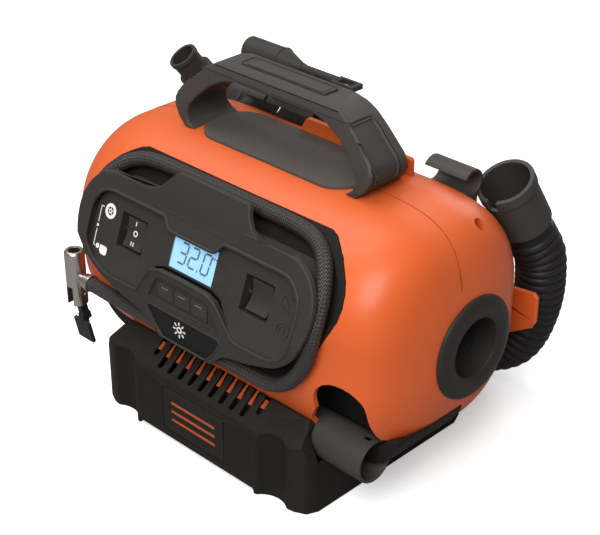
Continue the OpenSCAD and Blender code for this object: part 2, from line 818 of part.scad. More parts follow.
chamber_x0 = -28;
chamber_x1 = 64;
chamber_r = 52;
module duct(s, x_end) {
    x0 = s * (barrel_cap - 14);
    translate([0, port_y, port_z]) rotate([0, 90, 0]) difference() {
        translate([0, 0, min(x0, x_end)]) cylinder(r = port_r + 2.4, h = abs(x0 - x_end));
        translate([0, 0, min(x0, x_end) - 1]) cylinder(r = port_r, h = abs(x0 - x_end) + 2);
    }
}
module left_duct() { color(charcoal) duct(-1, chamber_x0); }
module right_duct() { color(charcoal) duct(1, chamber_x1); }

motor_r = 20;
motor_x0 = 4;
motor_x1 = 54;
module blower_housing() {
    color("#777777") translate([0, port_y, port_z]) rotate([0, 90, 0]) {
        difference() {
            translate([0, 0, chamber_x0]) cylinder(r = chamber_r, h = chamber_x1 - chamber_x0);
            translate([0, 0, chamber_x0 + 2.5])
                cylinder(r = chamber_r - 2.5, h = chamber_x1 - chamber_x0 - 5);
            translate([0, 0, chamber_x0 - 1])
                cylinder(r = port_r, h = chamber_x1 - chamber_x0 + 2);
        }
        for (k = [0 : 2]) rotate([0, 0, 120 * k + 30]) translate([motor_r, -2, motor_x0 + 8])
            cube([chamber_r - 1 - motor_r, 4, 30]);
        // legs down to the base floor
        for (s = [chamber_x0 + 6, chamber_x1 - 14]) translate([chamber_r - 2, -24, s])
            cube([port_z - base_floor - chamber_r + 2, 48, 6]);
    }
}

module blower_motor() {
    color(silver) translate([0, port_y, port_z]) rotate([0, 90, 0]) difference() {
        union() {
            translate([0, 0, motor_x0]) cylinder(r = motor_r, h = motor_x1 - motor_x0);
            translate([0, 0, motor_x1 - eps]) cylinder(r = 6, h = 4);
        }
        translate([0, 0, motor_x0 - 1]) cylinder(r = 2.5 + run_gap, h = 12);
    }
}

module blower_wheel() {
    color("#dddddd") translate([0, port_y, port_z]) rotate([0, 90, 0]) {
        difference() {
            translate([0, 0, -2]) cylinder(r = fan_r, h = 2.4);
            translate([0, 0, -3]) cylinder(r = 2, h = 5);
        }
        for (k = [0 : fan_blades - 1]) rotate([0, 0, k * 360 / fan_blades])
            translate([0, 0, -20]) linear_extrude(height = 18.2) intersection() {
                translate([fan_r * 0.55, fan_r * 0.35]) difference() {
                    circle(r = fan_r * 0.62);
                    circle(r = fan_r * 0.62 - 2);
                }
                difference() {
                    circle(r = fan_r - 0.5);
                    circle(r = 12);
                    translate([-fan_r, -2 * fan_r]) square([2 * fan_r, 2 * fan_r]);
                }
            }
        translate([0, 0, -22]) cylinder(r = 8, h = 21);
        translate([0, 0, -6]) cylinder(r = 2.5, h = 17);
    }
}

// ---- piston compressor ------------------------------------------------------------
pump_y = -30;
shaft_z = 72;
gear_z = shaft_z + gear_module * (pinion_teeth + gear_teeth) / 2;
plate_x = -71;
pump_x = -53;
rod_len = 47;
pin_z = gear_z + crank_throw;
wrist_z = pin_z + rod_len;

module compressor_motor() {
    color(silver) translate([plate_x, pump_y, shaft_z]) rotate([0, -90, 0]) difference() {
        union() {
            cylinder(r = 16, h = 36);
            translate([0, 0, 36 - eps]) cylinder(r = 14, h = 4);
            translate([0, 0, 39]) cylinder(r = 5, h = 3);
        }
        translate([0, 0, -1]) cylinder(r = 1.6 + run_gap, h = 20);
    }
}

// Spur gear with straight-flanked teeth, drawn about its own axis
module gear_outline(teeth, m) {
    pr = teeth * m / 2;
    ro = pr + 0.95 * m;
    ri = pr - 1.2 * m;
    half = 90 / teeth;
    polygon([for (i = [0 : teeth - 1]) let (a = i * 360 / teeth)
        for (p = [[ri, -half * 1.25], [pr, -half * 0.9], [ro, -half * 0.42], [ro, half * 0.42],
            [pr, half * 0.9], [ri, half * 1.25]])
            [p[0] * cos(a + p[1]), p[0] * sin(a + p[1])]]);
}

gear_w = 7;
gear_x0 = plate_x + 5.5;
module motor_pinion() {
    color(silver) translate([gear_x0, pump_y, shaft_z]) rotate([0, 90, 0]) {
        // a gap of the pinion faces the tooth of the crank gear
        rotate([0, 0, 180 + 180 / pinion_teeth]) linear_extrude(height = gear_w + 1)
            gear_outline(pinion_teeth, gear_module);
        translate([0, 0, -20]) cylinder(r = 1.6, h = 21);
    }
}

module crank_gear() {
    color("#e8e4da") translate([gear_x0, pump_y, gear_z]) rotate([0, 90, 0]) {
        difference() {
            linear_extrude(height = gear_w) gear_outline(gear_teeth, gear_module);
            for (k = [0 : 4]) rotate([0, 0, 72 * k + 36]) translate([14.5, 0, -1])
                cylinder(r = 3.4, h = gear_w + 2);
        }
        translate([0, 0, -16]) cylinder(r = 3, h = 17);
        // crank pin, at its highest point at rest
        translate([-crank_throw, 0, gear_w - eps]) cylinder(r = 3, h = 2.5);
    }
}

rod_x0 = gear_x0 + gear_w + 3.2;
rod_t = 5;
module con_rod() {
    color(silver) translate([rod_x0, pump_y, 0]) rotate([0, 90, 0]) difference() {
        union() {
            translate([-pin_z, 0, 0]) cylinder(r = 6.5, h = rod_t);
            translate([-wrist_z, 0, 0]) cylinder(r = 4.5, h = rod_t);
            translate([-wrist_z, -2.5, 0]) cube([rod_len, 5, rod_t]);
        }
        translate([-pin_z, 0, -1]) cylinder(r = 3.1, h = rod_t + 2);
        translate([-wrist_z, 0, -1]) cylinder(r = 2, h = rod_t + 2);
    }
}

module piston() {
    rod_mid = rod_x0 + rod_t / 2;
    color("#cccccc") difference() {
        translate([rod_mid, pump_y, wrist_z - 6]) cylinder(r = bore_r - run_gap, h = 14);
        translate([rod_mid, pump_y, wrist_z - 5]) cube([rod_t + 0.1, 12, 22], center = true);
    }
    color("#cccccc") translate([rod_mid, pump_y, wrist_z]) rotate([0, 90, 0])
        cylinder(r = 2, h = rod_t + 2, center = true);
}

cyl_z0 = wrist_z - 6 - 2 * crank_throw - 2;
cyl_z1 = wrist_z + 10;
module cylinder_part() {
    translate([rod_x0 + rod_t / 2, pump_y, cyl_z0]) difference() {
        union() {
            cylinder(r = bore_r + 2.5, h = cyl_z1 - cyl_z0);
            for (k = [1 : 6]) translate([0, 0, k * 5 - 1]) cylinder(r = bore_r + 5, h = 1.4);
        }
        translate([0, 0, -1]) cylinder(r = bore_r, h = cyl_z1 - cyl_z0 + 2);
    }
}
module cylinder_barrel() { color("#8a8a8a") cylinder_part(); }

module cylinder_head() {
    color("#8a8a8a") translate([rod_x0 + rod_t / 2, pump_y, cyl_z1]) {
        cylinder(r = bore_r + 5, h = 8);
        translate([0, 0, 8 - eps]) cylinder(r = 7, h = 5);
        translate([0, 0, 4]) rotate([0, 90, 0]) cylinder(r = 3.4, h = 24);
    }
}

module compressor_frame() {
    rod_mid = rod_x0 + rod_t / 2;
    color("#9a9a9a") difference() {
        union() {
            translate([plate_x, pump_y - 19, base_floor]) cube([4, 38, gear_z + 22 - base_floor]);
            translate([plate_x, pump_y - 19, cyl_z0 - 5])
                cube([rod_mid + bore_r + 5 - plate_x, 38, 5]);
            for (s = [-1, 1]) translate([plate_x, pump_y + s * 17 - 2, base_floor])
                cube([40, 4, cyl_z0 - base_floor]);
        }
        translate([plate_x - 1, pump_y, shaft_z]) rotate([0, 90, 0])
            cylinder(r = 5, h = 6);
        translate([plate_x - 1, pump_y, gear_z]) rotate([0, 90, 0])
            cylinder(r = 3 + run_gap, h = 6);
        translate([rod_mid, pump_y, cyl_z0 - 6]) cylinder(r = bore_r - 1, h = 7);
        translate([gear_x0 - 1, pump_y - gear_module * gear_teeth / 2 - 2, shaft_z - 12])
            cube([gear_w + 2.2, gear_module * gear_teeth + 4, cyl_z0 - 5 - shaft_z + 12]);
    }
}

// ---- routes -------------------------------------------------------------------
function unit(v) = v / norm(v);
function catmull(p, i, t) =
    let (n = len(p), a = p[max(i - 1, 0)], b = p[i], c = p[min(i + 1, n - 1)],
        d = p[min(i + 2, n - 1)])
    0.5 * ((2 * b) + (c - a) * t + (2 * a - 5 * b + 4 * c - d) * t * t
        + (3 * b - a - 3 * c + d) * t * t * t);
function smooth_route(p, k) = concat(
    [for (i = [0 : len(p) - 2]) for (j = [0 : k - 1]) catmull(p, i, j / k)], [p[len(p) - 1]]);
function tangent(p, i) = unit(p[min(i + 1, len(p) - 1)] - p[max(i - 1, 0)]);
// Normals carried along the route without twist
function square_to(n, t) = unit(n - (n * t) * t);
function carried(p, n0) = [for (i = 0, n = square_to(n0, tangent(p, 0)); i < len(p);
    i = i + 1, n = i < len(p) ? unit(n - (n * tangent(p, i)) * tangent(p, i)) : n) n];
function ring_at(c, t, n, r, sides) =
    let (b = cross(t, n))
    [for (k = [0 : sides - 1]) let (a = 360 * k / sides) c + r * (cos(a) * n + sin(a) * b)];
function skin(rows, sides, base, flip) = [for (i = [0 : rows - 2]) for (k = [0 : sides - 1])
    let (a = base + i * sides + k, b = base + i * sides + (k + 1) % sides,
        c = a + sides, d = b + sides)
    for (f = flip ? [[a, b, c], [b, d, c]] : [[a, c, b], [b, c, d]]) f];
function fan(base, sides, flip) = [for (k = [1 : sides - 2])
    flip ? [base, base + k, base + k + 1] : [base, base + k + 1, base + k]];

// Solid tube through the points of p
module tube(p, r, n0, sides = 10) {
    ns = carried(p, n0);
    pts = [for (i = [0 : len(p) - 1]) for (q = ring_at(p[i], tangent(p, i), ns[i], r, sides)) q];
    polyhedron(points = pts, convexity = 6,
        faces = concat(skin(len(p), sides, 0, false), fan(0, sides, true),
            fan((len(p) - 1) * sides, sides, false)));
}

// Air hose: from the chuck once round the channel to its elbow on the hub
air_route = [[-109.2, -83, 92], [-100, -83.3, 92], [-80, -83.8, 92], [-40, -83.8, 92],
    [0, -83.8, 92], [40, -83.8, 92], [68, -83.8, 92.5], [83, -83.8, 98], [94, -83.8, 108.5],
    [101.5, -83.8, 121], [105.5, -83.5, 134], [107.2, -81.5, 145], [107.4, -77.8, 155],
    [105.5, -73.3, 167], [98, -68, 178], [85, -64.8, 184.5], [66, -63.5, 187], [30, -63.5, 187],
    [0, -63.5, 187], [-30, -63.5, 187], [-66, -63.5, 187], [-85, -64.8, 184.5], [-98, -68, 178],
    [-105.5, -73.3, 167], [-107.4, -77.5, 156], [-106.8, -81, 147], [-106, -83.5, 140],
    [-106, -83.5, 130.3]];
module air_hose() {
    color("#2b2a28") tube(smooth_route(air_route, 2), air_hose_d / 2, [0, 0, 1]);
}

// ---- tyre chuck -------------------------------------------------------------------
chuck_x = -127.5;
chuck_y = -83;
chuck_z0 = 70;
stub_z = chuck_z0 + 22;
seal_r = valve_r + 0.6;
seal_h = 4;
module chuck_body() {
    color(silver) translate([chuck_x, chuck_y, chuck_z0]) difference() {
        union() {
            cylinder(r = chuck_d / 2, h = chuck_len - 1.5);
            translate([0, 0, chuck_len - 1.5]) cylinder(r1 = chuck_d / 2, r2 = chuck_d / 2 - 1.2,
                h = 1.5);
            translate([0, 0, stub_z - chuck_z0]) rotate([0, 90, 0]) cylinder(r = 4.4, h = 11);
        }
        translate([0, 0, chuck_len - 22]) cylinder(r = seal_r + 0.02, h = seal_h);
        translate([0, 0, chuck_len - 22]) cylinder(r = valve_r, h = 23);
        // slot and cross hole for the lever
        translate([-3.2, -chuck_d, -1]) cube([6.4, 2 * chuck_d, 16]);
        translate([0, 0, 10]) rotate([0, 90, 0]) cylinder(r = 1.6, h = 20, center = true);
    }
}

module chuck_seal() {
    color("#222222") translate([chuck_x, chuck_y, chuck_z0 + chuck_len - 22]) difference() {
        cylinder(r = seal_r, h = seal_h);
        translate([0, 0, -1]) cylinder(r = 1.2, h = 6);
    }
}

module chuck_pin() {
    color(silver) translate([chuck_x, chuck_y, chuck_z0 + 10]) rotate([0, 90, 0])
        cylinder(r = 1.6, h = chuck_d - 1, center = true);
}

module chuck_lever() {
    color("#222222") translate([chuck_x, chuck_y, chuck_z0 + 10]) rotate([12, 0, 0]) difference() {
        union() {
            rotate([0, 90, 0]) cylinder(r = 4, h = 5.6, center = true);
            translate([-2.8, -3, -26]) cube([5.6, 6, 26]);
            translate([-2.8, -4, -27]) cube([5.6, 8, 6]);
            translate([-8.5, -5, -44]) cube([17, 3, 18]);
            translate([-2.8, -5, -30]) cube([5.6, 6, 6]);
        }
        rotate([0, 90, 0]) cylinder(r = 1.6 + run_gap, h = 10, center = true);
    }
}

module hose_ferrule() {
    color(silver) translate([chuck_x + 11 - eps, chuck_y, stub_z]) rotate([0, 90, 0])
        difference() {
            union() {
                cylinder(r = 5.6, h = 4);
                translate([0, 0, 4 - eps]) cylinder(r = 6.2, h = 3);
            }
            translate([0, 0, -1]) cylinder(r = 2, h = 12);
        }
}

// ---- ribbed hose --------------------------------------------------------------------
// Route of the ribbed hose from the left nozzle round the guide block to the connector
hose_route = [[-149.5, 88, 163.5], [-145.2, 97.6, 148.9], [-140.8, 107.2, 134.3], [-133.5, 119.5, 112],
    [-127.5, 127.5, 92], [-122, 131, 73], [-115, 132, 56], [-104.5, 132, 41.5], [-90, 131, 31],
    [-70, 130, 25], [-35, 130, 24], [0, 130, 24], [35, 130, 24], [70, 130, 25], [90, 131, 31],
    [104.5, 132, 41.5], [113.5, 132, 56], [119.5, 131.5, 73], [124, 129.5, 91], [127, 125.5, 109],
    [128.1, 120.5, 129.1], [125.9, 112, 144.9], [123.6, 103.6, 160.6]];
hose_sides = 8;
hose_root = 2.4;
function path_len(p, i = 0) = i >= len(p) - 1 ? 0 : norm(p[i + 1] - p[i]) + path_len(p, i + 1);
function walk(p, s, i = 0) = i >= len(p) - 2 || s <= norm(p[i + 1] - p[i])
    ? p[i] + (p[i + 1] - p[i]) * s / norm(p[i + 1] - p[i])
    : walk(p, s - norm(p[i + 1] - p[i]), i + 1);
hose_line = smooth_route(hose_route, 3);
hose_len = path_len(hose_line);
rib_count = floor((hose_len - hose_od) / rib_pitch);
hose_cuff = (hose_len - rib_count * rib_pitch) / 2;
// Stations along the hose: a crest and a root for each rib, with a plain cuff at both ends
function station(i) = i == 0 ? 0
    : i == 2 * rib_count + 1 ? hose_len : hose_cuff + (i - 0.5) * rib_pitch / 2;
function rib_radius(i) = hose_od / 2 - (i % 2 == 0 ? hose_root : 0);
module ribbed_hose() {
    echo(hose_length = hose_len, least_gap = min([for (i = [0 : 4 : len(hose_line) - 1])
        for (j = [i + 16 : 4 : len(hose_line) - 1]) norm(hose_line[i] - hose_line[j])]) - hose_od);
    rows = 2 * rib_count + 2;
    centres = [for (i = [0 : rows - 1]) walk(hose_line, station(i))];
    ns = carried(centres, [1, 0, 0]);
    outer = [for (i = [0 : rows - 1])
        for (q = ring_at(centres[i], tangent(centres, i), ns[i],
            i == 0 || i == rows - 1 ? hose_od / 2 - hose_root : rib_radius(i), hose_sides)) q];
    bore_rows = [for (i = [0 : 4 : rows - 1]) i];
    bores = concat(bore_rows, bore_rows[len(bore_rows) - 1] == rows - 1 ? [] : [rows - 1]);
    inner = [for (i = bores) for (q = ring_at(centres[i], tangent(centres, i), ns[i],
        hose_bore / 2, hose_sides)) q];
    base = rows * hose_sides;
    last = (rows - 1) * hose_sides;
    last_in = base + (len(bores) - 1) * hose_sides;
    faces = concat(skin(rows, hose_sides, 0, false), skin(len(bores), hose_sides, base, true),
        [for (k = [0 : hose_sides - 1]) let (n = (k + 1) % hose_sides)
            for (f = [[k, n, base + k], [n, base + n, base + k]]) f],
        [for (k = [0 : hose_sides - 1]) let (n = (k + 1) % hose_sides)
            for (f = [[last + k, last_in + k, last + n],
                [last + n, last_in + k, last_in + n]]) f]);
    color("#2b2a28") polyhedron(points = concat(outer, inner), faces = faces, convexity = 8);
}

// Places its children at a hose end, with z running out along the hose
module at_end(p, towards) {
    d = unit(towards);
    translate(p) rotate([0, acos(d[2]), atan2(d[1], d[0])]) children();
}

conn_dir = [-4.7, -17.4, 32.4];
module hose_connector() {
    r = hose_od / 2 + 1.2;
    color(charcoal) at_end(hose_route[len(hose_route) - 1], conn_dir) translate([0, 0, fit]) difference() {
        union() {
            translate([0, 0, -4]) cylinder(r = r, h = 40);
            translate([0, 0, 28]) cylinder(r = r + 1, h = 8);
            rotate([0, 0, 200]) translate([r - 1, -4, 14]) cube([4, 8, 3]);
        }
        translate([0, 0, 1]) cylinder(r = r - 2.2, h = 40);
        translate([0, 0, -5]) cylinder(r = hose_od / 2 + 0.1, h = 4.9);
        translate([0, 0, -1]) cylinder(r = hose_bore / 2, h = 5);
        rotate([0, 0, 20]) translate([r - 5, -3.5, 28]) cube([12, 7, 10]);
    }
}

nozzle_dir = [-14, -31, 47];
module hose_nozzle() {
    color(charcoal) at_end(hose_route[0], nozzle_dir) translate([0, 0, fit]) difference() {
        union() {
            translate([0, 0, -4]) cylinder(r = hose_od / 2 + 1.5, h = 12);
            translate([0, 0, 8 - eps]) cylinder(r1 = hose_od / 2 + 1, r2 = 11.2, h = 12);
            translate([0, 0, 20 - 2 * eps]) cylinder(r = 10.8, h = 38);
            translate([0, 0, 36]) cylinder(r = 13.6, h = 6);
            translate([0, 0, 54]) cylinder(r = 11.6, h = 4);
        }
        translate([0, 0, -1]) cylinder(r = 9, h = 62);
        translate([0, 0, -5]) cylinder(r = hose_od / 2 + 0.1, h = 4.9);
    }
}

// ---- clips and stored nozzles ---------------------------------------------------------
clip_y = 65;
clip_z = 195;
clip_r = 10;
// C-shaped clip on the back of the barrel, open towards the front
module rear_clip(x, len) {
    difference() {
        union() {
            translate([x, clip_y, clip_z]) rotate([0, 90, 0]) cylinder(r = clip_r, h = len);
            translate([x, clip_y - 3, clip_z - 28]) cube([len, 8, 22]);
        }
        translate([x - 1, clip_y, clip_z]) rotate([0, 90, 0]) cylinder(r = clip_r - 2.5, h = len + 2);
        translate([x - 1, clip_y - 14, clip_z - 5]) cube([len + 2, 14, 10]);
        barrel(0.1);
    }
}
module right_clip() { color(charcoal) rear_clip(75, 35); }
module left_clip() { color(charcoal) rear_clip(-110, 34); }

saddle_y = 53;
saddle_z = 238;
taper_r = 9.6;
// Clip like the others, with two arms that carry a saddle for the tapered nozzle
module nozzle_cradle() {
    color(charcoal) {
        rear_clip(-74, 44);
        difference() {
            translate([-72, 0, 0]) rotate([90, 0, 90]) linear_extrude(height = 22) polygon([
                [clip_y - 5, clip_z + 8.3], [clip_y + 5, clip_z + 8.3], [clip_y + 4, saddle_z - 12],
                [saddle_y + 12.5, saddle_z - 1], [saddle_y - 12.5, saddle_z - 1],
                [saddle_y - 9, saddle_z - 9], [saddle_y - 2, saddle_z - 13]]);
            translate([-80, saddle_y, saddle_z]) rotate([0, 90, 0]) cylinder(r = taper_r + fit, h = 40);
            translate([-68, 0, clip_z + 12]) cube([14, 200, 19]);
        }
    }
}

taper_x = -85;
module taper_nozzle() {
    color(charcoal) difference() {
        translate([taper_x, saddle_y, saddle_z]) rotate([0, 90, 0]) {
            cylinder(r = taper_r, h = 34);
            translate([0, 0, 34 - eps]) cylinder(r1 = taper_r, r2 = 3.4, h = 18);
            translate([0, 0, 52 - 2 * eps]) cylinder(r = 3.2, h = 33);
            translate([-2, -5.5, 83]) cube([4, 11, 20]);
        }
        translate([taper_x - 1, saddle_y, saddle_z]) rotate([0, 90, 0]) cylinder(r = 7.6, h = 30);
        translate([taper_x, saddle_y, saddle_z]) rotate([0, 90, 0]) cylinder(r = 1.6, h = 84);
        translate([taper_x + 87, saddle_y - 3.2, saddle_z - 3]) cube([12, 6.4, 6]);
    }
}

module wide_nozzle() {
    color(charcoal) translate([tube_x0, tube_y, tube_z]) rotate([0, 90, 0]) difference() {
        cylinder(r = tube_r, h = tube_len);
        translate([0, 0, -1]) cylinder(r = tube_r - 2, h = tube_len + 2);
        translate([-tube_r - 1, -2, tube_len - 9]) cube([6, 4, 5]);
    }
}

// ---- screws ----------------------------------------------------------------------------
module shell_screws() {
    color(silver) at_shell_screws() translate([0, 0, 0.3]) {
        cylinder(r = screw_head_r, h = 2.5);
        translate([0, 0, -12]) cylinder(r = screw_r, h = 12.5);
    }
}

base_tray();
base_feet();
name_plate();
front_shell();
rear_shell();
hose_guide_block();
nozzle_bay();
channel_plate();
console_hub();
front_flange();
console_panel();
lcd_window();
lcd_module();
control_board();
left_switch_body();
right_switch_body();
left_rocker();
right_rocker();
button_left();
button_mid();
button_right();
light_button();
top_pad();
handle_frame();
grip_inlay();
port_ring_left();
port_ring_right();
left_duct();
right_duct();
blower_housing();
blower_motor();
blower_wheel();
compressor_frame();
compressor_motor();
motor_pinion();
crank_gear();
con_rod();
piston();
cylinder_barrel();  // cylinder
cylinder_head();
air_hose();
hose_ferrule();
chuck_body();
chuck_pin();
chuck_lever();
chuck_seal();
ribbed_hose();
hose_connector();
hose_nozzle();
right_clip();
left_clip();
nozzle_cradle();
taper_nozzle();
wide_nozzle();
shell_screws();
base_screws();
power_socket();
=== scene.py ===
import json
import math
from contextlib import contextmanager

import bmesh
import bpy
from mathutils import Matrix, Vector


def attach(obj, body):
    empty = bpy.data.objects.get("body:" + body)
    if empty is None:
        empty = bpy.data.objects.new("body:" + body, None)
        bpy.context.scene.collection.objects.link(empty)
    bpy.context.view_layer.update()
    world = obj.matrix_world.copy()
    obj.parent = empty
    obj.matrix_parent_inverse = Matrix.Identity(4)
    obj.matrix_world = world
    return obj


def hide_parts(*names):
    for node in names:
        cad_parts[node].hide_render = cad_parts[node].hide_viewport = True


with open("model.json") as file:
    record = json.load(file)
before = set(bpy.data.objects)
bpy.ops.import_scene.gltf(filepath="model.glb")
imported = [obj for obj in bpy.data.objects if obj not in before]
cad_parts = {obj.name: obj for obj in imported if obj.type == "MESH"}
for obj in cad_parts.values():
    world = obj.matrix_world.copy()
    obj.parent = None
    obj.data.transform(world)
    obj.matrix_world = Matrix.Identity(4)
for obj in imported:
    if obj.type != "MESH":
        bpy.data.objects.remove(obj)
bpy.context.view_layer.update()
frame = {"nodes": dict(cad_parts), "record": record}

bl_info = {
    "name": "Portable inflator",
    "version": (1, 0, 0),
    "blender": (4, 5, 0),
    "location": "View3D > Sidebar > Inflator",
    "description": "Dresses the inflator's packed model with its fine forms and finishes",
    "category": "Object",
}

MM = 0.001
SAME_POINT = 2e-6
RIGHT = Vector((1, 0, 0))

# Place of the camera, how far it looks down from level and how far it is turned
EYE_AT = (0.6397, -0.6376, 0.6281)
EYE_DOWN = math.radians(29.59)
EYE_TURN = math.radians(44.37)

# Console frame: the display's plane leans back by TILT
TILT = math.radians(20.5)
PANEL_AT = Vector((0, -82.3, 154.9))
PANEL_UP = Vector((0, math.sin(TILT), math.cos(TILT)))
PANEL_OUT = Vector((0, -math.cos(TILT), math.sin(TILT)))
FACE_Y = -94.06

# Height where the console's face folds from leaning to upright, and of the flange's level top
FOLD_Z = 140
TRIM_Z = 187.3

# Middle of the row of vents, the slope of the shelf that they lie in, and their spacing
VENT_MID = (0, -74, 60)
VENT_SLOPE = math.radians(34.5)
VENT_PITCH = 10.3
VENT_HALF = 2.1

# Half length, radius, half width of the flat bands, middle and roundness of the barrel
BARREL = {"half": 153.4, "r": 84.0, "band": 14.0, "y": 5.8, "z": 118.6, "end": 8.0, "side": 3.47}


# ---- sizes and colours a user would change --------------------------------------------
def colour(name, text, value):
    """A colour that the panel shows."""
    return bpy.props.FloatVectorProperty(
        name=name, description=text, subtype="COLOR", size=4, min=0, max=1, default=value)


class InflatorColours(bpy.types.PropertyGroup):
    orange: colour("Orange", "Colour of the barrel shells", (0.60, 0.098, 0.018, 1))
    charcoal: colour("Charcoal", "Colour of the console", (0.0270, 0.0240, 0.0212, 1))
    handle: colour("Handle", "Colour of the handle, the clips and the wide nozzle",
                   (0.0400, 0.0355, 0.0315, 1))
    base: colour("Base", "Colour of the base tray", (0.0115, 0.0102, 0.0085, 1))
    grey: colour("Soft grey", "Colour of the pad under the handle", (0.0640, 0.0550, 0.0490, 1))
    black: colour("Black", "Colour of rubber and hoses", (0.0100, 0.0095, 0.0090, 1))
    plated: colour("Plated metal", "Colour of the chuck and ferrule", (0.46, 0.42, 0.39, 1))
    display: colour("Display", "Colour of the lit display", (0.27, 0.54, 0.82, 1))
    marks: colour("Marks", "Colour of the printed marks", (0.80, 0.78, 0.75, 1))


class InflatorSizes(bpy.types.PropertyGroup):
    edge_share: bpy.props.FloatProperty(
        name="Edge rounding", description="Share of the usual radius on the moulded parts' edges",
        default=1.0, min=0.2, max=2.0)
    rib_pitch: bpy.props.FloatProperty(
        name="Rib pitch", description="Distance between two ribs of the large hose",
        default=0.0066, min=0.004, max=0.012, unit="LENGTH", subtype="DISTANCE")
    braid_strands: bpy.props.IntProperty(
        name="Braid strands", description="Strands round the air hose", default=16, min=6, max=32)
    floor_size: bpy.props.FloatProperty(
        name="Floor size", description="Width of the studio floor",
        default=12.0, min=2.0, max=40.0, unit="LENGTH", subtype="DISTANCE")
    key_power: bpy.props.FloatProperty(
        name="Key light", description="Power of the main light", default=44.0, min=1, max=300,
        unit="POWER")


# ---- small helpers --------------------------------------------------------------------
def colours():
    return bpy.context.scene.inflator_colours


def sizes():
    return bpy.context.scene.inflator_sizes


def node(name):
    """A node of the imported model."""
    if name not in frame["nodes"]:
        raise RuntimeError(f"the packed model has no node {name}")
    return frame["nodes"][name]


def body_of_node(name):
    """The body that carries a node."""
    for body, members in frame["record"]["behaviour"]["bodies"].items():
        if name in members:
            return body
    raise RuntimeError(f"no body holds {name}")


def on_panel(x, s, off=0.0):
    """The drawing plane of the leaning panel: its origin, right, up and outward directions."""
    p = PANEL_AT + PANEL_UP * s + PANEL_OUT * off
    return Vector((x, p.y, p.z)) * MM, RIGHT, PANEL_UP, PANEL_OUT


def upright(x, y, z):
    """A drawing plane that faces the front, with its origin in millimetres."""
    return Vector((x, y, z)) * MM, RIGHT, Vector((0, 0, 1)), Vector((0, -1, 0))


def level(z):
    """A drawing plane that faces up, at a height in millimetres."""
    return Vector((0, 0, z)) * MM, RIGHT, Vector((0, 1, 0)), Vector((0, 0, 1))


def new_piece(name, mesh, look, body="housing"):
    """A piece that rides on a body, with the finish of that name."""
    obj = bpy.data.objects.new(name, mesh)
    bpy.context.scene.collection.objects.link(obj)
    mesh.materials.clear()
    mesh.materials.append(surface(look))
    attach(obj, body)
    return obj


@contextmanager
def editing(me):
    """The mesh as a bmesh, written back at the end."""
    bm = bmesh.new()
    bm.from_mesh(me)
    yield bm
    bm.to_mesh(me)
    bm.free()


def mesh_from(name, verts, faces, smooth=True):
    me = bpy.data.meshes.new(name)
    me.from_pydata([tuple(v) for v in verts], [], faces)
    me.update()
    with editing(me) as bm:
        bmesh.ops.recalc_face_normals(bm, faces=bm.faces)
    for p in me.polygons:
        p.use_smooth = smooth
    return me


def baked(obj):
    """Applies every modifier of obj to its mesh."""
    deps = bpy.context.evaluated_depsgraph_get()
    done = bpy.data.meshes.new_from_object(obj.evaluated_get(deps))
    mats = [m for m in obj.data.materials]
    old = obj.data
    obj.modifiers.clear()
    obj.data = done
    done.materials.clear()
    for m in mats:
        done.materials.append(m)
    bpy.data.meshes.remove(old)
    return obj


def smooth_by_angle(me, degrees):
    """Smooth shading with sharp edges from an angle up."""
    for p in me.polygons:
        p.use_smooth = True
    me.set_sharp_from_angle(angle=math.radians(degrees))


def merged(bm, degrees):
    """Joins points that meet and faces that lie within an angle of one plane."""
    bmesh.ops.remove_doubles(bm, verts=bm.verts, dist=SAME_POINT)
    bmesh.ops.dissolve_limit(bm, angle_limit=math.radians(degrees), verts=bm.verts,
                             edges=bm.edges)


def cleaned(me):
    """Joins the triangles of the flat faces."""
    with editing(me) as bm:
        merged(bm, 0.05)


def softened(name, look, width, segments=2, angle=34, smooth=34, shaped=None, keep=None):
    """A copy of a node's solid with its sharp edges rounded, which stands for the node."""
    me = node(name).data.copy()
    me.name = name + "_form"
    cleaned(me)
    obj = new_piece(name + "_form", me, look, body_of_node(name))
    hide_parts(name)
    if shaped:
        shaped(obj)
        cleaned(obj.data)
    return rounded(obj, width, segments, angle, smooth, keep)


def weighted(me, angle, keep):
    """Marks the edges to round, without those whose ends keep() holds sharp."""
    with editing(me) as bm:
        layer = bm.edges.layers.float.new("bevel_weight_edge")
        for e in bm.edges:
            if len(e.link_faces) == 2 and e.calc_face_angle(0) > math.radians(angle):
                e[layer] = 0.0 if all(keep(v.co) for v in e.verts) else 1.0


def rounded(obj, width, segments=2, angle=34, smooth=34, keep=None):
    """Rounds the sharp edges of obj by a width in metres and evens out its shading."""
    if width > 0:
        mod = obj.modifiers.new("edges", "BEVEL")
        mod.width = width * sizes().edge_share
        mod.segments = segments
        if keep:
            weighted(obj.data, angle, keep)
        mod.limit_method = "WEIGHT" if keep else "ANGLE"
        mod.angle_limit = math.radians(angle)
        mod.use_clamp_overlap = False
        mod.miter_outer = "MITER_ARC"
        baked(obj)
    smooth_by_angle(obj.data, smooth)
    mod = obj.modifiers.new("normals", "WEIGHTED_NORMAL")
    mod.keep_sharp = True
    baked(obj)
    return obj


def carried(points):
    """Tangents and normals carried along points without twist."""
    n = len(points)
    tans = []
    for i in range(n):
        t = points[min(i + 1, n - 1)] - points[max(i - 1, 0)]
        tans.append(t.normalized())
    first = Vector((0, 0, 1)) if abs(tans[0].z) < 0.9 else Vector((1, 0, 0))
    nrm = (first - tans[0] * first.dot(tans[0])).normalized()
    norms = [nrm]
    for i in range(1, n):
        nrm = (nrm - tans[i] * nrm.dot(tans[i])).normalized()
        norms.append(nrm)
    return tans, norms


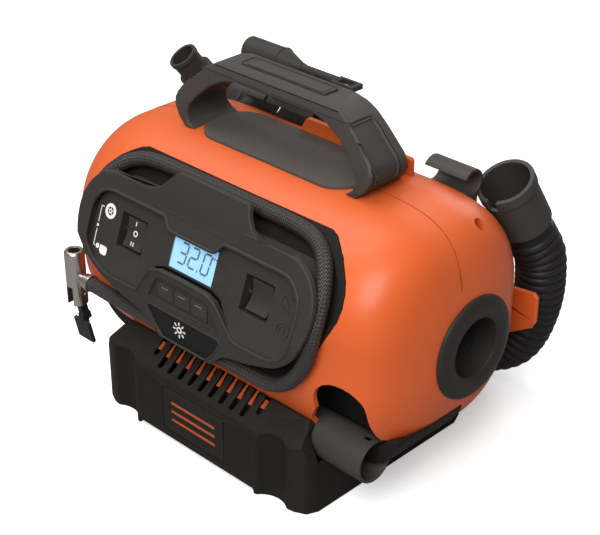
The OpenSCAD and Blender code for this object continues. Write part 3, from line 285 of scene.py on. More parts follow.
def catmull(points, per):
    """A smooth curve through points, in per steps between two."""
    out = []
    n = len(points)
    for i in range(n - 1):
        a, b = points[max(i - 1, 0)], points[i]
        c, d = points[i + 1], points[min(i + 2, n - 1)]
        for j in range(per):
            t = j / per
            out.append(0.5 * ((2 * b) + (c - a) * t + (2 * a - 5 * b + 4 * c - d) * t * t
                              + (3 * b - a - 3 * c + d) * t * t * t))
    out.append(points[-1])
    return out


def evened(points, step):
    """Points along the line at equal steps, with their distances from the start."""
    dist = [0.0]
    for a, b in zip(points, points[1:]):
        dist.append(dist[-1] + (b - a).length)
    total = dist[-1]
    count = max(2, round(total / step))
    out, at, k = [], [], 0
    for i in range(count + 1):
        s = total * i / count
        while k < len(dist) - 2 and dist[k + 1] < s:
            k += 1
        f = (s - dist[k]) / max(dist[k + 1] - dist[k], 1e-9)
        out.append(points[k].lerp(points[k + 1], min(max(f, 0), 1)))
        at.append(s)
    return out, at


def tube_mesh(name, points, radii, sides, dist, bore=None):
    """Tube through points, with UVs that hold turns round and metres along."""
    tans, norms = carried(points)
    rows, plain = len(points), ((0, 0),)
    verts, faces, uv = [], [], []
    for rad in [radii] + ([[bore] * rows] if bore else []):
        for p, t, n, r in zip(points, tans, norms, rad):
            b = t.cross(n)
            for k in range(sides):
                a = 2 * math.pi * k / sides
                verts.append(p + (n * math.cos(a) + b * math.sin(a)) * r)
    ring = [(k, (k + 1) % sides) for k in range(sides)]
    for i in range(rows - 1):
        a, b = i * sides, (i + 1) * sides
        for k, m in ring:
            faces.append((a + k, a + m, b + m, b + k))
            uv.append(((k / sides, dist[i]), ((k + 1) / sides, dist[i]),
                       ((k + 1) / sides, dist[i + 1]), (k / sides, dist[i + 1])))
    if bore:
        base = rows * sides
        for i in range(rows - 1):
            a, b = base + i * sides, base + (i + 1) * sides
            faces += [(a + m, a + k, b + k, b + m) for k, m in ring]
        high = base - sides
        faces += [(k, base + k, base + m, m) for k, m in ring]
        faces += [(high + m, base + high + m, base + high + k, high + k) for k, m in ring]
        uv += [plain * 4] * ((rows + 1) * sides)
    else:
        faces += [tuple(range(sides)), tuple(reversed(range((rows - 1) * sides, rows * sides)))]
        uv += [plain * sides] * 2
    me = bpy.data.meshes.new(name)
    me.from_pydata([tuple(v) for v in verts], [], faces)
    layer = me.uv_layers.new(name="along")
    i = 0
    for corners in uv:
        for c in corners:
            layer.data[i].uv = c
            i += 1
    for p in me.polygons:
        p.use_smooth = True
    me.update()
    return me


def between_rings(name, front, back):
    """A flat-shaded solid between two rings of as many points."""
    n = len(front)
    faces = [tuple(range(n)), tuple(reversed(range(n, 2 * n)))]
    for i in range(n):
        j = (i + 1) % n
        faces.append((i, n + i, n + j, j))
    return mesh_from(name, front + back, faces, smooth=False)


def plate_mesh(name, outline, plane, thick):
    """A flat plate from an outline in millimetres on a drawing plane."""
    at, right, up, out = plane
    low = [at + right * (x * MM) + up * (y * MM) for x, y in outline]
    return between_rings(name, low, [v + out * (thick * MM) for v in low])


def prism_mesh(name, outline, front, back):
    """A solid of one outline of x and z in millimetres between two faces given by y."""
    return between_rings(name, *([Vector((x, side(z), z)) * MM for x, z in outline]
                                 for side in (front, back)))


def both_sides(half):
    """A full outline from the points of its right half, top middle to bottom middle."""
    return half + [(-x, z) for x, z in reversed(half) if x > 0]


def new_set(name, meshes, look, body="housing"):
    """One piece made of several meshes."""
    return new_piece(name, joined(name, meshes), look, body)


def joined(name, meshes):
    """One mesh that takes the place of several."""
    bm = bmesh.new()
    for me in meshes:
        bm.from_mesh(me)
    out = bpy.data.meshes.new(name)
    bm.to_mesh(out)
    bm.free()
    for me in meshes:
        bpy.data.meshes.remove(me)
    return out


def box_outline(x, y, w, h):
    """A rectangle round x, y."""
    return [(x - w / 2, y - h / 2), (x + w / 2, y - h / 2), (x + w / 2, y + h / 2),
            (x - w / 2, y + h / 2)]


def ring_meshes(name, cx, cy, r, w, plane, thick, start=0, end=360, steps=36):
    """The plates of a flat ring, or of a part of one."""
    parts = []
    n = max(3, round(steps * (end - start) / 360))
    for i in range(n):
        a, b = (math.radians(start + (end - start) * k / n) for k in (i, i + 1))
        pts = [(cx + q * math.cos(t), cy + q * math.sin(t))
               for q, t in ((r - w / 2, a), (r + w / 2, a), (r + w / 2, b), (r - w / 2, b))]
        parts.append(plate_mesh(name, pts, plane, thick))
    return parts


def bar(name, x0, y0, x1, y1, w, plane, thick):
    """A plate along the line from x0, y0 to x1, y1."""
    d = Vector((x1 - x0, y1 - y0))
    n = Vector((-d.y, d.x)).normalized() * (w / 2)
    pts = [(x0 + n.x, y0 + n.y), (x0 - n.x, y0 - n.y), (x1 - n.x, y1 - n.y), (x1 + n.x, y1 + n.y)]
    return plate_mesh(name, pts, plane, thick)


# ---- shared effects -------------------------------------------------------------------
def link(tree, a, b):
    """Joins output a to input b."""
    tree.links.new(a, b)


def group(name, ins, outs):
    """A node group with its input and output nodes, which are None if it was made before."""
    g = bpy.data.node_groups.get(name)
    if g:
        return g, None, None
    g = bpy.data.node_groups.new(name, "ShaderNodeTree")
    for n, value in ins:
        s = g.interface.new_socket(name=n, in_out="INPUT", socket_type="NodeSocketFloat")
        s.default_value = value
    for n in outs:
        g.interface.new_socket(name=n, in_out="OUTPUT", socket_type="NodeSocketFloat")
    return g, g.nodes.new("NodeGroupInput"), g.nodes.new("NodeGroupOutput")


def placed(tree, effect, **values):
    """A shared effect in a material, with its own values."""
    n = tree.nodes.new("ShaderNodeGroup")
    n.node_tree = effect
    for key, value in values.items():
        n.inputs[key].default_value = value
    return n.outputs


def math_node(tree, op, a, b=None):
    """An operation on numbers or sockets."""
    m = tree.nodes.new("ShaderNodeMath")
    m.operation = op
    for i, v in enumerate((a, b)):
        if isinstance(v, (int, float)):
            m.inputs[i].default_value = v
        elif v is not None:
            link(tree, v, m.inputs[i])
    return m.outputs[0]


def mixed(tree, factor, a, b):
    """A colour between a and b, each a colour or a socket."""
    m = tree.nodes.new("ShaderNodeMix")
    m.data_type = "RGBA"
    link(tree, factor, m.inputs["Factor"])
    for key, v in (("A", a), ("B", b)):
        if isinstance(v, tuple):
            m.inputs[key].default_value = v
        else:
            link(tree, v, m.inputs[key])
    return m.outputs["Result"]


def ranged(tree, value, **ends):
    """Value carried over to another range; ends are From_Min, From_Max, To_Min and To_Max."""
    m = tree.nodes.new("ShaderNodeMapRange")
    for key, v in ends.items():
        m.inputs[key.replace("_", " ")].default_value = v
    link(tree, value, m.inputs["Value"])
    return m.outputs[0]


def texture(tree, kind, scale, **more):
    """A texture on the object's own coordinates; scale is a number or a socket."""
    n = tree.nodes.new(kind)
    co = tree.nodes.new("ShaderNodeTexCoord")
    link(tree, co.outputs["Object"], n.inputs["Vector"])
    if isinstance(scale, (int, float)):
        n.inputs["Scale"].default_value = scale
    else:
        link(tree, scale, n.inputs["Scale"])
    for key, v in more.items():
        n.inputs[key].default_value = v
    return n.outputs


def bumped(tree, height, strength, distance, shader):
    """Drives the shader's normal by a height."""
    b = tree.nodes.new("ShaderNodeBump")
    b.inputs["Strength"].default_value = strength
    b.inputs["Distance"].default_value = distance
    link(tree, height, b.inputs["Height"])
    link(tree, b.outputs[0], shader.inputs["Normal"])


def moulded_grain():
    """Fine spark-eroded grain with slow drifts in tone."""
    g, i, o = group("Moulded grain", (("Scale", 1400.0), ("Drift", 9.0)), ("Height", "Tone"))
    if i:
        scale = i.outputs["Scale"]
        fine = texture(g, "ShaderNodeTexNoise", scale, Detail=2, Roughness=0.6)[0]
        cells = texture(g, "ShaderNodeTexVoronoi", scale)["Distance"]
        slow = texture(g, "ShaderNodeTexNoise", i.outputs["Drift"], Detail=3)[0]
        h = math_node(g, "ADD", math_node(g, "MULTIPLY", fine, 0.6),
                      math_node(g, "MULTIPLY", cells, 0.4))
        link(g, h, o.inputs["Height"])
        link(g, slow, o.inputs["Tone"])
    return g


def edge_wear():
    """Mask that is bright on rubbed outer edges and broken up by noise."""
    g, i, o = group("Edge wear", (("Amount", 0.3),), ("Mask",))
    if i:
        geo = g.nodes.new("ShaderNodeNewGeometry")
        edge = ranged(g, geo.outputs["Pointiness"], From_Min=0.505, From_Max=0.58)
        m = math_node(g, "MULTIPLY", edge, texture(g, "ShaderNodeTexNoise", 160)[0])
        link(g, math_node(g, "MULTIPLY", m, i.outputs["Amount"]), o.inputs["Mask"])
    return g


def settled_dust():
    """Mask of the thin dust that lies on faces that look up."""
    g, i, o = group("Settled dust", (("Amount", 0.1),), ("Mask",))
    if i:
        geo = g.nodes.new("ShaderNodeNewGeometry")
        sep = g.nodes.new("ShaderNodeSeparateXYZ")
        link(g, geo.outputs["Normal"], sep.inputs[0])
        up = ranged(g, sep.outputs["Z"], From_Min=0.35, From_Max=1.0)
        m = math_node(g, "MULTIPLY", up, texture(g, "ShaderNodeTexNoise", 38, Detail=5)[0])
        link(g, math_node(g, "MULTIPLY", m, i.outputs["Amount"]), o.inputs["Mask"])
    return g


def braided_cover():
    """Over-and-under strands from UVs that hold turns and metres."""
    g, i, o = group("Braided cover", (("Strands", 16.0), ("Per metre", 420.0)), ("Height",))
    if i:
        uv = g.nodes.new("ShaderNodeUVMap")
        uv.uv_map = "along"
        sep = g.nodes.new("ShaderNodeSeparateXYZ")
        link(g, uv.outputs[0], sep.inputs[0])
        a = math_node(g, "MULTIPLY", sep.outputs["X"], i.outputs["Strands"])
        b = math_node(g, "MULTIPLY", sep.outputs["Y"], i.outputs["Per metre"])
        p = math_node(g, "ADD", a, b)
        q = math_node(g, "SUBTRACT", a, b)
        over = math_node(g, "PINGPONG", math_node(g, "ADD", math_node(g, "FLOOR", p),
                                                  math_node(g, "FLOOR", q)), 1.0)
        sp, sq = (math_node(g, "SINE", math_node(g, "MULTIPLY", math_node(g, "FRACT", v),
                                                 math.pi)) for v in (p, q))
        mix = math_node(g, "ADD", math_node(g, "MULTIPLY", sp, over),
                        math_node(g, "MULTIPLY", sq, math_node(g, "SUBTRACT", 1.0, over)))
        link(g, mix, o.inputs["Height"])
    return g


def lighter(c, f):
    """A colour times f, opaque."""
    return (min(c[0] * f, 1), min(c[1] * f, 1), min(c[2] * f, 1), 1)


def new_material(name):
    """A material, its node tree and its shader."""
    m = bpy.data.materials.new(name)
    m.use_nodes = True
    return m, m.node_tree, m.node_tree.nodes["Principled BSDF"]


def finish(name, base, rough=0.5, scale=1400.0, depth=0.00004, bump=0.25, wear=0.35, dust=0.12,
           coat=0.0, metallic=0.0, specular=0.3, spread=0.12):
    """A moulded or plated finish with grain, drifting tone, rubbed edges and light dust."""
    m, t, p = new_material(name)
    p.inputs["Metallic"].default_value = metallic
    p.inputs["Specular IOR Level"].default_value = specular
    p.inputs["Coat Weight"].default_value = coat
    p.inputs["Coat Roughness"].default_value = 0.25
    grain = placed(t, moulded_grain(), Scale=scale)
    tone = mixed(t, grain["Tone"], lighter(base, 1 - spread), lighter(base, 1 + spread))
    worn = mixed(t, placed(t, edge_wear(), Amount=wear)["Mask"], tone,
                 lighter([c + 0.03 for c in base[:3]], 1.4))
    dusty = mixed(t, placed(t, settled_dust(), Amount=dust)["Mask"], worn, (0.26, 0.245, 0.23, 1))
    link(t, dusty, p.inputs["Base Color"])
    rough = ranged(t, grain["Tone"], To_Min=max(rough - 0.07, 0.02), To_Max=min(rough + 0.07, 1))
    link(t, rough, p.inputs["Roughness"])
    bumped(t, grain["Height"], bump, depth, p)
    return m


# Plain finishes: the panel's colour or fixed values, the share of it, and how the surface is made
FINISHES = {
    "Orange shell": ("orange", 1, {"rough": 0.42, "scale": 900, "depth": 0.00003, "bump": 0.12,
                                   "wear": 0.12, "dust": 0.03, "coat": 0.06, "spread": 0.03}),
    "Charcoal moulding": ("charcoal", 1, {"rough": 0.58, "wear": 0.25, "dust": 0.05,
                                          "specular": 0.2}),
    "Handle charcoal": ("handle", 1, {"rough": 0.55, "wear": 0.25, "dust": 0.05,
                                      "specular": 0.25}),
    "Base charcoal": ("base", 1, {"rough": 0.58, "scale": 900, "depth": 0.00008, "bump": 0.3,
                                  "wear": 0.25, "dust": 0.03, "specular": 0.12}),
    "Ring charcoal": ("charcoal", 0.8, {"rough": 0.5, "wear": 0.25, "dust": 0.03,
                                        "specular": 0.2}),
    "Grained charcoal": ("charcoal", 1, {"rough": 0.56, "scale": 760, "depth": 0.00012,
                                         "bump": 0.35, "wear": 0.3, "dust": 0.05,
                                         "specular": 0.2}),
    "Soft grey": ("grey", 1, {"rough": 0.66, "scale": 1100, "depth": 0.00008, "bump": 0.4,
                              "wear": 0.15, "dust": 0.05, "specular": 0.2}),
    "Black rubber": ("black", 1, {"rough": 0.6, "wear": 0.2, "dust": 0.1}),
    "Ribbed hose black": ("black", 1.15, {"rough": 0.46, "wear": 0.3, "dust": 0.03,
                                          "specular": 0.2}),
    # the channel plate at a quarter of the charcoal, near black: painted shade of the deep gap
    # round the air hose
    "Channel black": ("charcoal", 0.26, {"rough": 0.7, "wear": 0.1, "dust": 0.02,
                                         "specular": 0.12}),
    "Plated metal": ("plated", 1, {"rough": 0.3, "scale": 2600, "depth": 0.00002, "bump": 0.15,
                                   "wear": 0.2, "dust": 0.03, "metallic": 1.0, "spread": 0.08}),
    "Brushed steel": ((0.55, 0.54, 0.52), 1, {"rough": 0.35, "metallic": 1.0, "wear": 0.1}),
    "Cast alloy": ((0.42, 0.42, 0.43), 1, {"rough": 0.55, "metallic": 1.0, "scale": 500,
                                           "depth": 0.0002, "bump": 0.5}),
    "Pale nylon": ((0.62, 0.60, 0.55), 1, {"rough": 0.45, "wear": 0.1, "dust": 0.05}),
    "Grey housing": ((0.22, 0.22, 0.22), 1, {}),
    "Board black": ((0.008, 0.011, 0.009), 1, {"rough": 0.45, "wear": 0.05}),
    "Dark lens": ((0.0040, 0.0040, 0.0038), 1, {"rough": 0.34, "scale": 300, "depth": 0.00001,
                                                "bump": 0.05, "wear": 0.05, "dust": 0.0,
                                                "specular": 0.13}),
    "White print": ("marks", 1, {"rough": 0.55, "wear": 0.0, "dust": 0.0, "spread": 0.04}),
    "Faint print": ((0.16, 0.15, 0.14), 1, {"rough": 0.6, "wear": 0.0, "dust": 0.0}),
    "Display ink": ((0.012, 0.014, 0.020), 1, {"wear": 0.0, "dust": 0.0}),
    # darker orange: print on the plate's bars, and painted shade on the fins seen through the
    # vents
    "Orange print": ("orange", 0.65, {"wear": 0.05, "dust": 0.0}),
    "Seam shade": ("orange", 0.42, {"rough": 0.7, "wear": 0.0, "dust": 0.0, "specular": 0.1}),
}


def surface(name):
    """The finish of that name, made the first time it is asked for."""
    old = bpy.data.materials.get(name)
    if old:
        return old
    if name in SPECIAL:
        return SPECIAL[name]()
    base, share, how = FINISHES[name]
    if isinstance(base, str):
        base = getattr(colours(), base)
    return finish(name, lighter(base, share), **how)


def lit_display():
    """The glowing face behind the digits."""
    m, t, p = new_material("Lit display")
    p.inputs["Roughness"].default_value = 0.25
    c = colours().display
    glow = mixed(t, texture(t, "ShaderNodeTexNoise", 22)[0], lighter(c, 0.9), lighter(c, 1.06))
    link(t, glow, p.inputs["Base Color"])
    link(t, glow, p.inputs["Emission Color"])
    p.inputs["Emission Strength"].default_value = 0.40
    return m


def display_glass():
    """The clear window over the display."""
    m, t, p = new_material("Display window")
    p.inputs["Roughness"].default_value = 0.08
    tint = mixed(t, texture(t, "ShaderNodeTexNoise", 40)[0], (0.55, 0.78, 0.98, 1),
                 (0.62, 0.84, 1.0, 1))
    link(t, tint, p.inputs["Base Color"])
    p.inputs["Alpha"].default_value = 0.10
    return m


def braid_material():
    """The braid of the air hose."""
    m, t, p = new_material("Braided hose")
    p.inputs["Roughness"].default_value = 0.5
    height = placed(t, braided_cover(), Strands=sizes().braid_strands)["Height"]
    # colour from the strands' height: dark in the hollows between strands and lighter on their
    # crests, painted shade
    link(t, mixed(t, height, (0.006, 0.0055, 0.005, 1), (0.030, 0.0275, 0.025, 1)),
         p.inputs["Base Color"])
    bumped(t, height, 0.8, 0.0004, p)
    return m


# Finishes that have their own nodes
SPECIAL = {"Lit display": lit_display, "Display window": display_glass,
           "Braided hose": braid_material}


def pale_floor():
    """The floor looks white, but throws little light up at the sides."""
    m, t, p = new_material("Pale floor")
    p.inputs["Roughness"].default_value = 0.75
    seen = t.nodes.new("ShaderNodeLightPath").outputs["Is Camera Ray"]
    link(t, mixed(t, seen, (0.30, 0.30, 0.30, 1), (0.93, 0.93, 0.93, 1)), p.inputs["Base Color"])
    link(t, mixed(t, seen, (0, 0, 0, 1), (1, 1, 1, 1)), p.inputs["Emission Color"])
    p.inputs["Emission Strength"].default_value = 0.35
    return m


def clad(name, look):
    """Gives a node that keeps its own solid its finish."""
    o, material = node(name), surface(look)
    if not o.material_slots:
        o.data.materials.append(material)
    for s in o.material_slots:
        s.link = "OBJECT"
        s.material = material


# ---- stage ------------------------------------------------------------------------------
class INFLATOR_OT_stage(bpy.types.Operator):
    """Sets up the camera, the pale floor and the soft studio lights"""
    bl_idname = "inflator.stage"
    bl_label = "Studio stage"

    def execute(self, context):
        scene = context.scene
        cam = bpy.data.cameras.new("Camera")
        cam.lens = 90
        cam.sensor_width = 36
        cam.clip_start = 0.01
        eye = bpy.data.objects.new("Camera", cam)
        eye.location = EYE_AT
        eye.rotation_euler = (math.radians(90) - EYE_DOWN, 0, EYE_TURN)
        scene.collection.objects.link(eye)
        scene.camera = eye
        half = sizes().floor_size / 2
        floor = bpy.data.objects.new("Floor", mesh_from(
            "Floor", [(-half, -half, 0), (half, -half, 0), (half, half, 0), (-half, half, 0)],
            [(0, 1, 2, 3)]))
        scene.collection.objects.link(floor)
        floor.data.materials.append(pale_floor())
        world = bpy.data.worlds.new("Studio")
        world.use_nodes = True
        bg = world.node_tree.nodes["Background"]
        bg.inputs[0].default_value = (1, 1, 1, 1)
        bg.inputs[1].default_value = 0.30
        scene.world = world
        scene.view_settings.view_transform = "Standard"
        aim = Vector((0, 0, 0.13))
        power = sizes().key_power
        for name, place, size, share in (
                ("Key light", (0.75, -1.35, 1.45), 1.2, 1.0),
                ("Top light", (-0.8, -0.2, 2.0), 1.5, 0.58),
                ("Back fill", (-0.4, 2.2, 1.2), 1.4, 0.35)):
            lamp = bpy.data.lights.new(name, "AREA")
            lamp.size = size
            lamp.energy = power * share
            obj = bpy.data.objects.new(name, lamp)
            obj.location = place
            obj.rotation_euler = (aim - Vector(place)).to_track_quat("-Z", "Y").to_euler()
            scene.collection.objects.link(obj)
        return {"FINISHED"}


# ---- hoses -------------------------------------------------------------------------------
AIR_ROUTE = [(-109.2, -83, 92), (-100, -83.3, 92), (-80, -83.8, 92), (-40, -83.8, 92),
             (0, -83.8, 92), (40, -83.8, 92), (68, -83.8, 92.5), (83, -83.8, 98),
             (94, -83.8, 108.5), (101.5, -83.8, 121), (105.5, -83.5, 134), (107.2, -81.5, 145),
             (107.4, -77.8, 155), (105.8, -71.8, 168.5), (98, -62.5, 181.3), (85, -54.6, 188.6),
             (66, -51.3, 191.4), (30, -50.8, 191.8), (0, -50.8, 191.8), (-30, -50.8, 191.8),
             (-66, -51.3, 191.4), (-85, -54.6, 188.6), (-98, -62.5, 181.3), (-105.8, -71.8, 168.5),
             (-107.4, -77.5, 156), (-106.8, -81, 147), (-106, -83.5, 140), (-106, -83.5, 130.3)]
HOSE_ROUTE = [(-149.5, 88, 163.5), (-145.2, 97.6, 148.9), (-140.8, 107.2, 134.3),
              (-133.5, 119.5, 112), (-127.5, 127.5, 92), (-122, 131, 73), (-115, 132, 56),
              (-104.5, 132, 41.5), (-90, 131, 31), (-70, 130, 25), (-35, 130, 24), (0, 130, 24),
              (35, 130, 24), (70, 130, 25), (90, 131, 31), (104.5, 132, 41.5), (113.5, 132, 56),
              (119.5, 131.5, 73), (124, 129.5, 91), (127, 125.5, 109), (128.1, 120.5, 129.1),
              (125.9, 112, 144.9), (123.6, 103.6, 160.6)]


AIR_HOSE_R = 5.25
# Ribbed hose, in millimetres: plain end, its radius, radius between ribs, rib height and bore
CUFF, CUFF_R, VALLEY_R, RIB_HEIGHT, BORE_R = 14, 15.6, 15.8, 2.2, 13.5


class INFLATOR_OT_air_hose(bpy.types.Operator):
    """Winds the braided air hose round the console's channel"""
    bl_idname = "inflator.air_hose"
    bl_label = "Air hose"

    def execute(self, context):
        line = catmull([Vector(p) * MM for p in AIR_ROUTE], 8)
        points, dist = evened(line, 0.003)
        me = tube_mesh("air_hose_form", points, [AIR_HOSE_R * MM] * len(points), 20, dist)
        obj = new_piece("air_hose_form", me, "Braided hose")
        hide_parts("air_hose")
        return {"FINISHED"}


class INFLATOR_OT_ribbed_hose(bpy.types.Operator):
    """Makes the large ribbed hose with its rounded ribs and plain cuffs"""
    bl_idname = "inflator.ribbed_hose"
    bl_label = "Ribbed hose"

    def execute(self, context):
        line = catmull([Vector(p) * MM for p in HOSE_ROUTE], 10)
        pitch = sizes().rib_pitch
        points, dist = evened(line, pitch / 8)
        radii = []
        for s in dist:
            if min(s, dist[-1] - s) < CUFF * MM:
                radii.append(CUFF_R * MM)
            else:
                wave = 0.5 - 0.5 * math.cos(2 * math.pi * (s - CUFF * MM) / pitch)
                radii.append((VALLEY_R + RIB_HEIGHT * wave ** 0.6) * MM)
        me = tube_mesh("ribbed_hose_form", points, radii, 40, dist, bore=BORE_R * MM)
        obj = new_piece("ribbed_hose_form", me, "Ribbed hose black")
        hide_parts("ribbed_hose")
        return {"FINISHED"}


# ---- shells --------------------------------------------------------------------------------
def barrel_normal(p):
    """The barrel's outward normal and the distance from its skin, in millimetres."""
    x, y, z = p.x / MM, p.y / MM - BARREL["y"], p.z / MM - BARREL["z"]
    u = min(abs(x) / BARREL["half"], 0.9999)
    body = 1 - u ** BARREL["end"]
    r = BARREL["r"] * body ** (1 / BARREL["side"]) - BARREL["band"]
    dy = math.copysign(max(abs(y) - BARREL["band"], 0), y)
    dz = math.copysign(max(abs(z) - BARREL["band"], 0), z)
    rr = math.hypot(dy, dz)
    slope = (BARREL["r"] / BARREL["side"] * body ** (1 / BARREL["side"] - 1)
             * BARREL["end"] * u ** (BARREL["end"] - 1) / BARREL["half"])
    n = Vector((math.copysign(slope, x), dy / max(rr, 1e-6), dz / max(rr, 1e-6))).normalized()
    return n, (rr - r) / math.sqrt(1 + slope * slope)


def barrel_skin(name, look, allow=0.45):
    """A copy of a shell whose shading follows the barrel's true curve."""
    me = node(name).data.copy()
    me.name = name + "_form"
    with editing(me) as bm:
        bmesh.ops.remove_doubles(bm, verts=bm.verts, dist=SAME_POINT)
    for p in me.polygons:
        p.use_smooth = True
    normals = []
    for poly in me.polygons:
        for v in poly.vertices:
            n, d = barrel_normal(me.vertices[v].co)
            good = abs(d) < allow and n.dot(poly.normal) > 0.9
            normals.append(n if good else poly.normal.copy())
    me.normals_split_custom_set(normals)
    obj = new_piece(name + "_form", me, look, body_of_node(name))
    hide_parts(name)
    return obj


SEAM_Y, SEAM_R = 4, 0.24
# Front and back of the rail behind the handle, and its outline
RAIL_Y = (36.4, 40.2)
RAIL = [(-22, 198), (-14.5, 211), (-12.5, 212.3), (79, 212.3), (80.5, 210.8), (80.5, 198)]


def seam_mesh(side):
    """Parting line of the two shells over one end, as a thin half-sunk line."""
    path = [(x, radius_at(x)) for x in range(78, 134, 2) if radius_at(x) > 73]
    path += [(BARREL["half"] * (1 - (r / BARREL["r"]) ** BARREL["side"]) ** (1 / BARREL["end"]), r)
             for r in range(72, 36, -2)]
    points = [Vector((side * x, SEAM_Y, BARREL["z"] + r)) * MM for x, r in path]
    return tube_mesh("seam", points, [SEAM_R * MM] * len(points), 8, [0.0] * len(points))


class INFLATOR_OT_shells(bpy.types.Operator):
    """Gives the barrel shells their smooth skin and orange finish"""
    bl_idname = "inflator.shells"
    bl_label = "Barrel shells"

    def execute(self, context):
        barrel_skin("front_shell", "Orange shell")
        barrel_skin("rear_shell", "Orange shell")
        softened("hose_guide_block", "Orange shell", 0.0012)
        softened("nozzle_bay", "Black rubber", 0)
        new_set("shell_seam", [seam_mesh(side) for side in (-1, 1)], "Seam shade")
        rail = new_piece("rear_rail", prism_mesh("rear_rail", RAIL, lambda z: RAIL_Y[0],
                                                 lambda z: RAIL_Y[1]), "Orange shell")
        rounded(rail, 0.0007)
        barrel_skin("top_pad", "Soft grey", allow=2.2)
        clad("shell_screws", "Brushed steel")
        return {"FINISHED"}


def radius_at(x):
    """Radius of the barrel at x, in millimetres."""
    return BARREL["r"] * (1 - (abs(x) / BARREL["half"]) ** BARREL["end"]) ** (1 / BARREL["side"])


def underside(x, y):
    """Height of the barrel's lower skin over a point of the floor, in millimetres."""
    r = radius_at(x) - BARREL["band"]
    dy = max(abs(y - BARREL["y"]) - BARREL["band"], 0)
    return BARREL["z"] - BARREL["band"] - math.sqrt(max(r * r - dy * dy, 0))


# Inner end and length in x, front and depth in y, and front crest of a carrier
CARRIER_X, CARRIER_LONG, CARRIER_Y, CARRIER_DEEP, CARRIER_CREST = 102.9, 46.5, -47, 62, 65.5


def cradle_mesh(side):
    """Flared carrier that holds one lower end of the barrel, lower towards the back."""
    xs = [CARRIER_X + CARRIER_LONG * math.sin(math.radians(90 * i / 14)) for i in range(15)]
    ys = [CARRIER_Y + CARRIER_DEEP * j / 16 for j in range(17)]
    top, low = [], []
    for x in xs:
        for y in ys:
            z0 = BARREL["z"] - radius_at(x) - 1.2
            crest = CARRIER_CREST - max(y + 18, 0) * 7 / 33
            z1 = max(min(crest, underside(x, y) - 0.3), z0 + 0.4)
            top.append(Vector((side * x, y, z1)) * MM)
            low.append(Vector((side * x, y, z0)) * MM)
    n, m = len(xs), len(ys)
    faces = []
    for i in range(n - 1):
        for j in range(m - 1):
            a, b, c, d = i * m + j, i * m + j + 1, (i + 1) * m + j + 1, (i + 1) * m + j
            faces.append((a, b, c, d))
            faces.append((n * m + d, n * m + c, n * m + b, n * m + a))
    rim = [i * m for i in range(n)] + [(n - 1) * m + j for j in range(1, m)]
    rim += [i * m + m - 1 for i in range(n - 2, -1, -1)] + [j for j in range(m - 2, 0, -1)]
    for k in range(len(rim)):
        a, b = rim[k], rim[(k + 1) % len(rim)]
        faces.append((a, b, n * m + b, n * m + a))
    return mesh_from("cradle", top + low, faces, smooth=False)


class INFLATOR_OT_base(bpy.types.Operator):
    """Makes the base tray with its feet, bare plate and screws"""
    bl_idname = "inflator.base"
    bl_label = "Base"

    def execute(self, context):
        softened("base_tray", "Base charcoal", 0.0014)
        softened("name_plate", "Base charcoal", 0.0004)
        for side, word in ((-1, "left"), (1, "right")):
            carrier = new_piece(word + "_cradle", cradle_mesh(side), "Base charcoal")
            rounded(carrier, 0.0008, smooth=40)
        # orange skin seen through the upper part of the vents, as fins close behind the slots in a
        # darker orange: painted shade
        rise = Vector((0, math.cos(VENT_SLOPE), math.sin(VENT_SLOPE)))
        drop = Vector((0, math.sin(VENT_SLOPE), -math.cos(VENT_SLOPE)))
        plane = (Vector(VENT_MID) * MM + drop * (3.2 * MM), RIGHT, rise, drop)
        fins = []
        for i in range(-5, 6):
            low, high = (0.5, 7.0) if abs(i) == 5 else (-1.6, 9.6)
            x0, x1 = i * VENT_PITCH - VENT_HALF, i * VENT_PITCH + VENT_HALF
            fins.append(plate_mesh("fin", [(x0, low), (x1, low), (x1, high), (x0, high)], plane,
                                   0.8))
        new_set("vent_liner", fins, "Orange print")
        # plain bars in the grooves of the bare plate
        bars = [plate_mesh("bars", box_outline(0, 21.2 + 7 * i, 43.6, 2.0), upright(0, -88.2, 0),
                           0.5) for i in range(3)]
        new_set("plate_bars", bars, "Orange print")
        clad("base_feet", "Black rubber")
        clad("base_screws", "Brushed steel")
        return {"FINISHED"}


# Outline of the flat hood over the flange, and its thickness from front to back
HOOD_DEPTH = 4.2
HOOD = [(-50, 180), (-50, TRIM_Z), (-44, 188.4), (-37, 192.5), (-31.5, 198), (-27, 202.3),
        (-24, 204), (-21, 204.6), (37, 204.6), (40, 204), (41.6, 202), (42.5, 199), (44, 195.5),
        (47.5, 190.3), (54, TRIM_Z), (54, 180)]


def face_at(z):
    """Front of the console's leaning face at height z, in millimetres."""
    return FACE_Y + (z - FOLD_Z) * math.tan(TILT)


def flattened(bm):
    """Puts what lies near the leaning plane of the flange's upper front on that plane."""
    for v in bm.verts:
        x, y, z = (c / MM for c in v.co)
        if z > 174 and abs(x) < 75 and abs(y - face_at(z)) < 0.6:
            v.co.y = face_at(z) * MM
    merged(bm, 0.4)


def with_hood(obj):
    """Trims the flange level and grows the flat hood from its upper edge."""
    with editing(obj.data) as bm:
        flattened(bm)
        bmesh.ops.bisect_plane(bm, geom=bm.verts[:] + bm.edges[:] + bm.faces[:], dist=1e-6,
                               plane_co=(0, 0, TRIM_Z * MM), plane_no=(0, 0, 1),
                               clear_outer=True)
        bmesh.ops.holes_fill(bm, edges=bm.edges[:], sides=0)
    hood = bpy.data.objects.new("hood", prism_mesh(
        "hood", HOOD, face_at, lambda z: face_at(z) + HOOD_DEPTH))
    bpy.context.scene.collection.objects.link(hood)
    mod = obj.modifiers.new("hood", "BOOLEAN")
    mod.operation = "UNION"
    mod.solver = "EXACT"
    mod.object = hood
    baked(obj)
    bpy.data.objects.remove(hood)
    with editing(obj.data) as bm:
        flattened(bm)


def arc(cx, cz, r, start, end):
    """Points of an arc from start to end, in degrees."""
    n = max(2, round(abs(end - start) / 10))
    return [(cx + r * math.cos(math.radians(start + (end - start) * i / n)),
             cz + r * math.sin(math.radians(start + (end - start) * i / n))) for i in range(n + 1)]


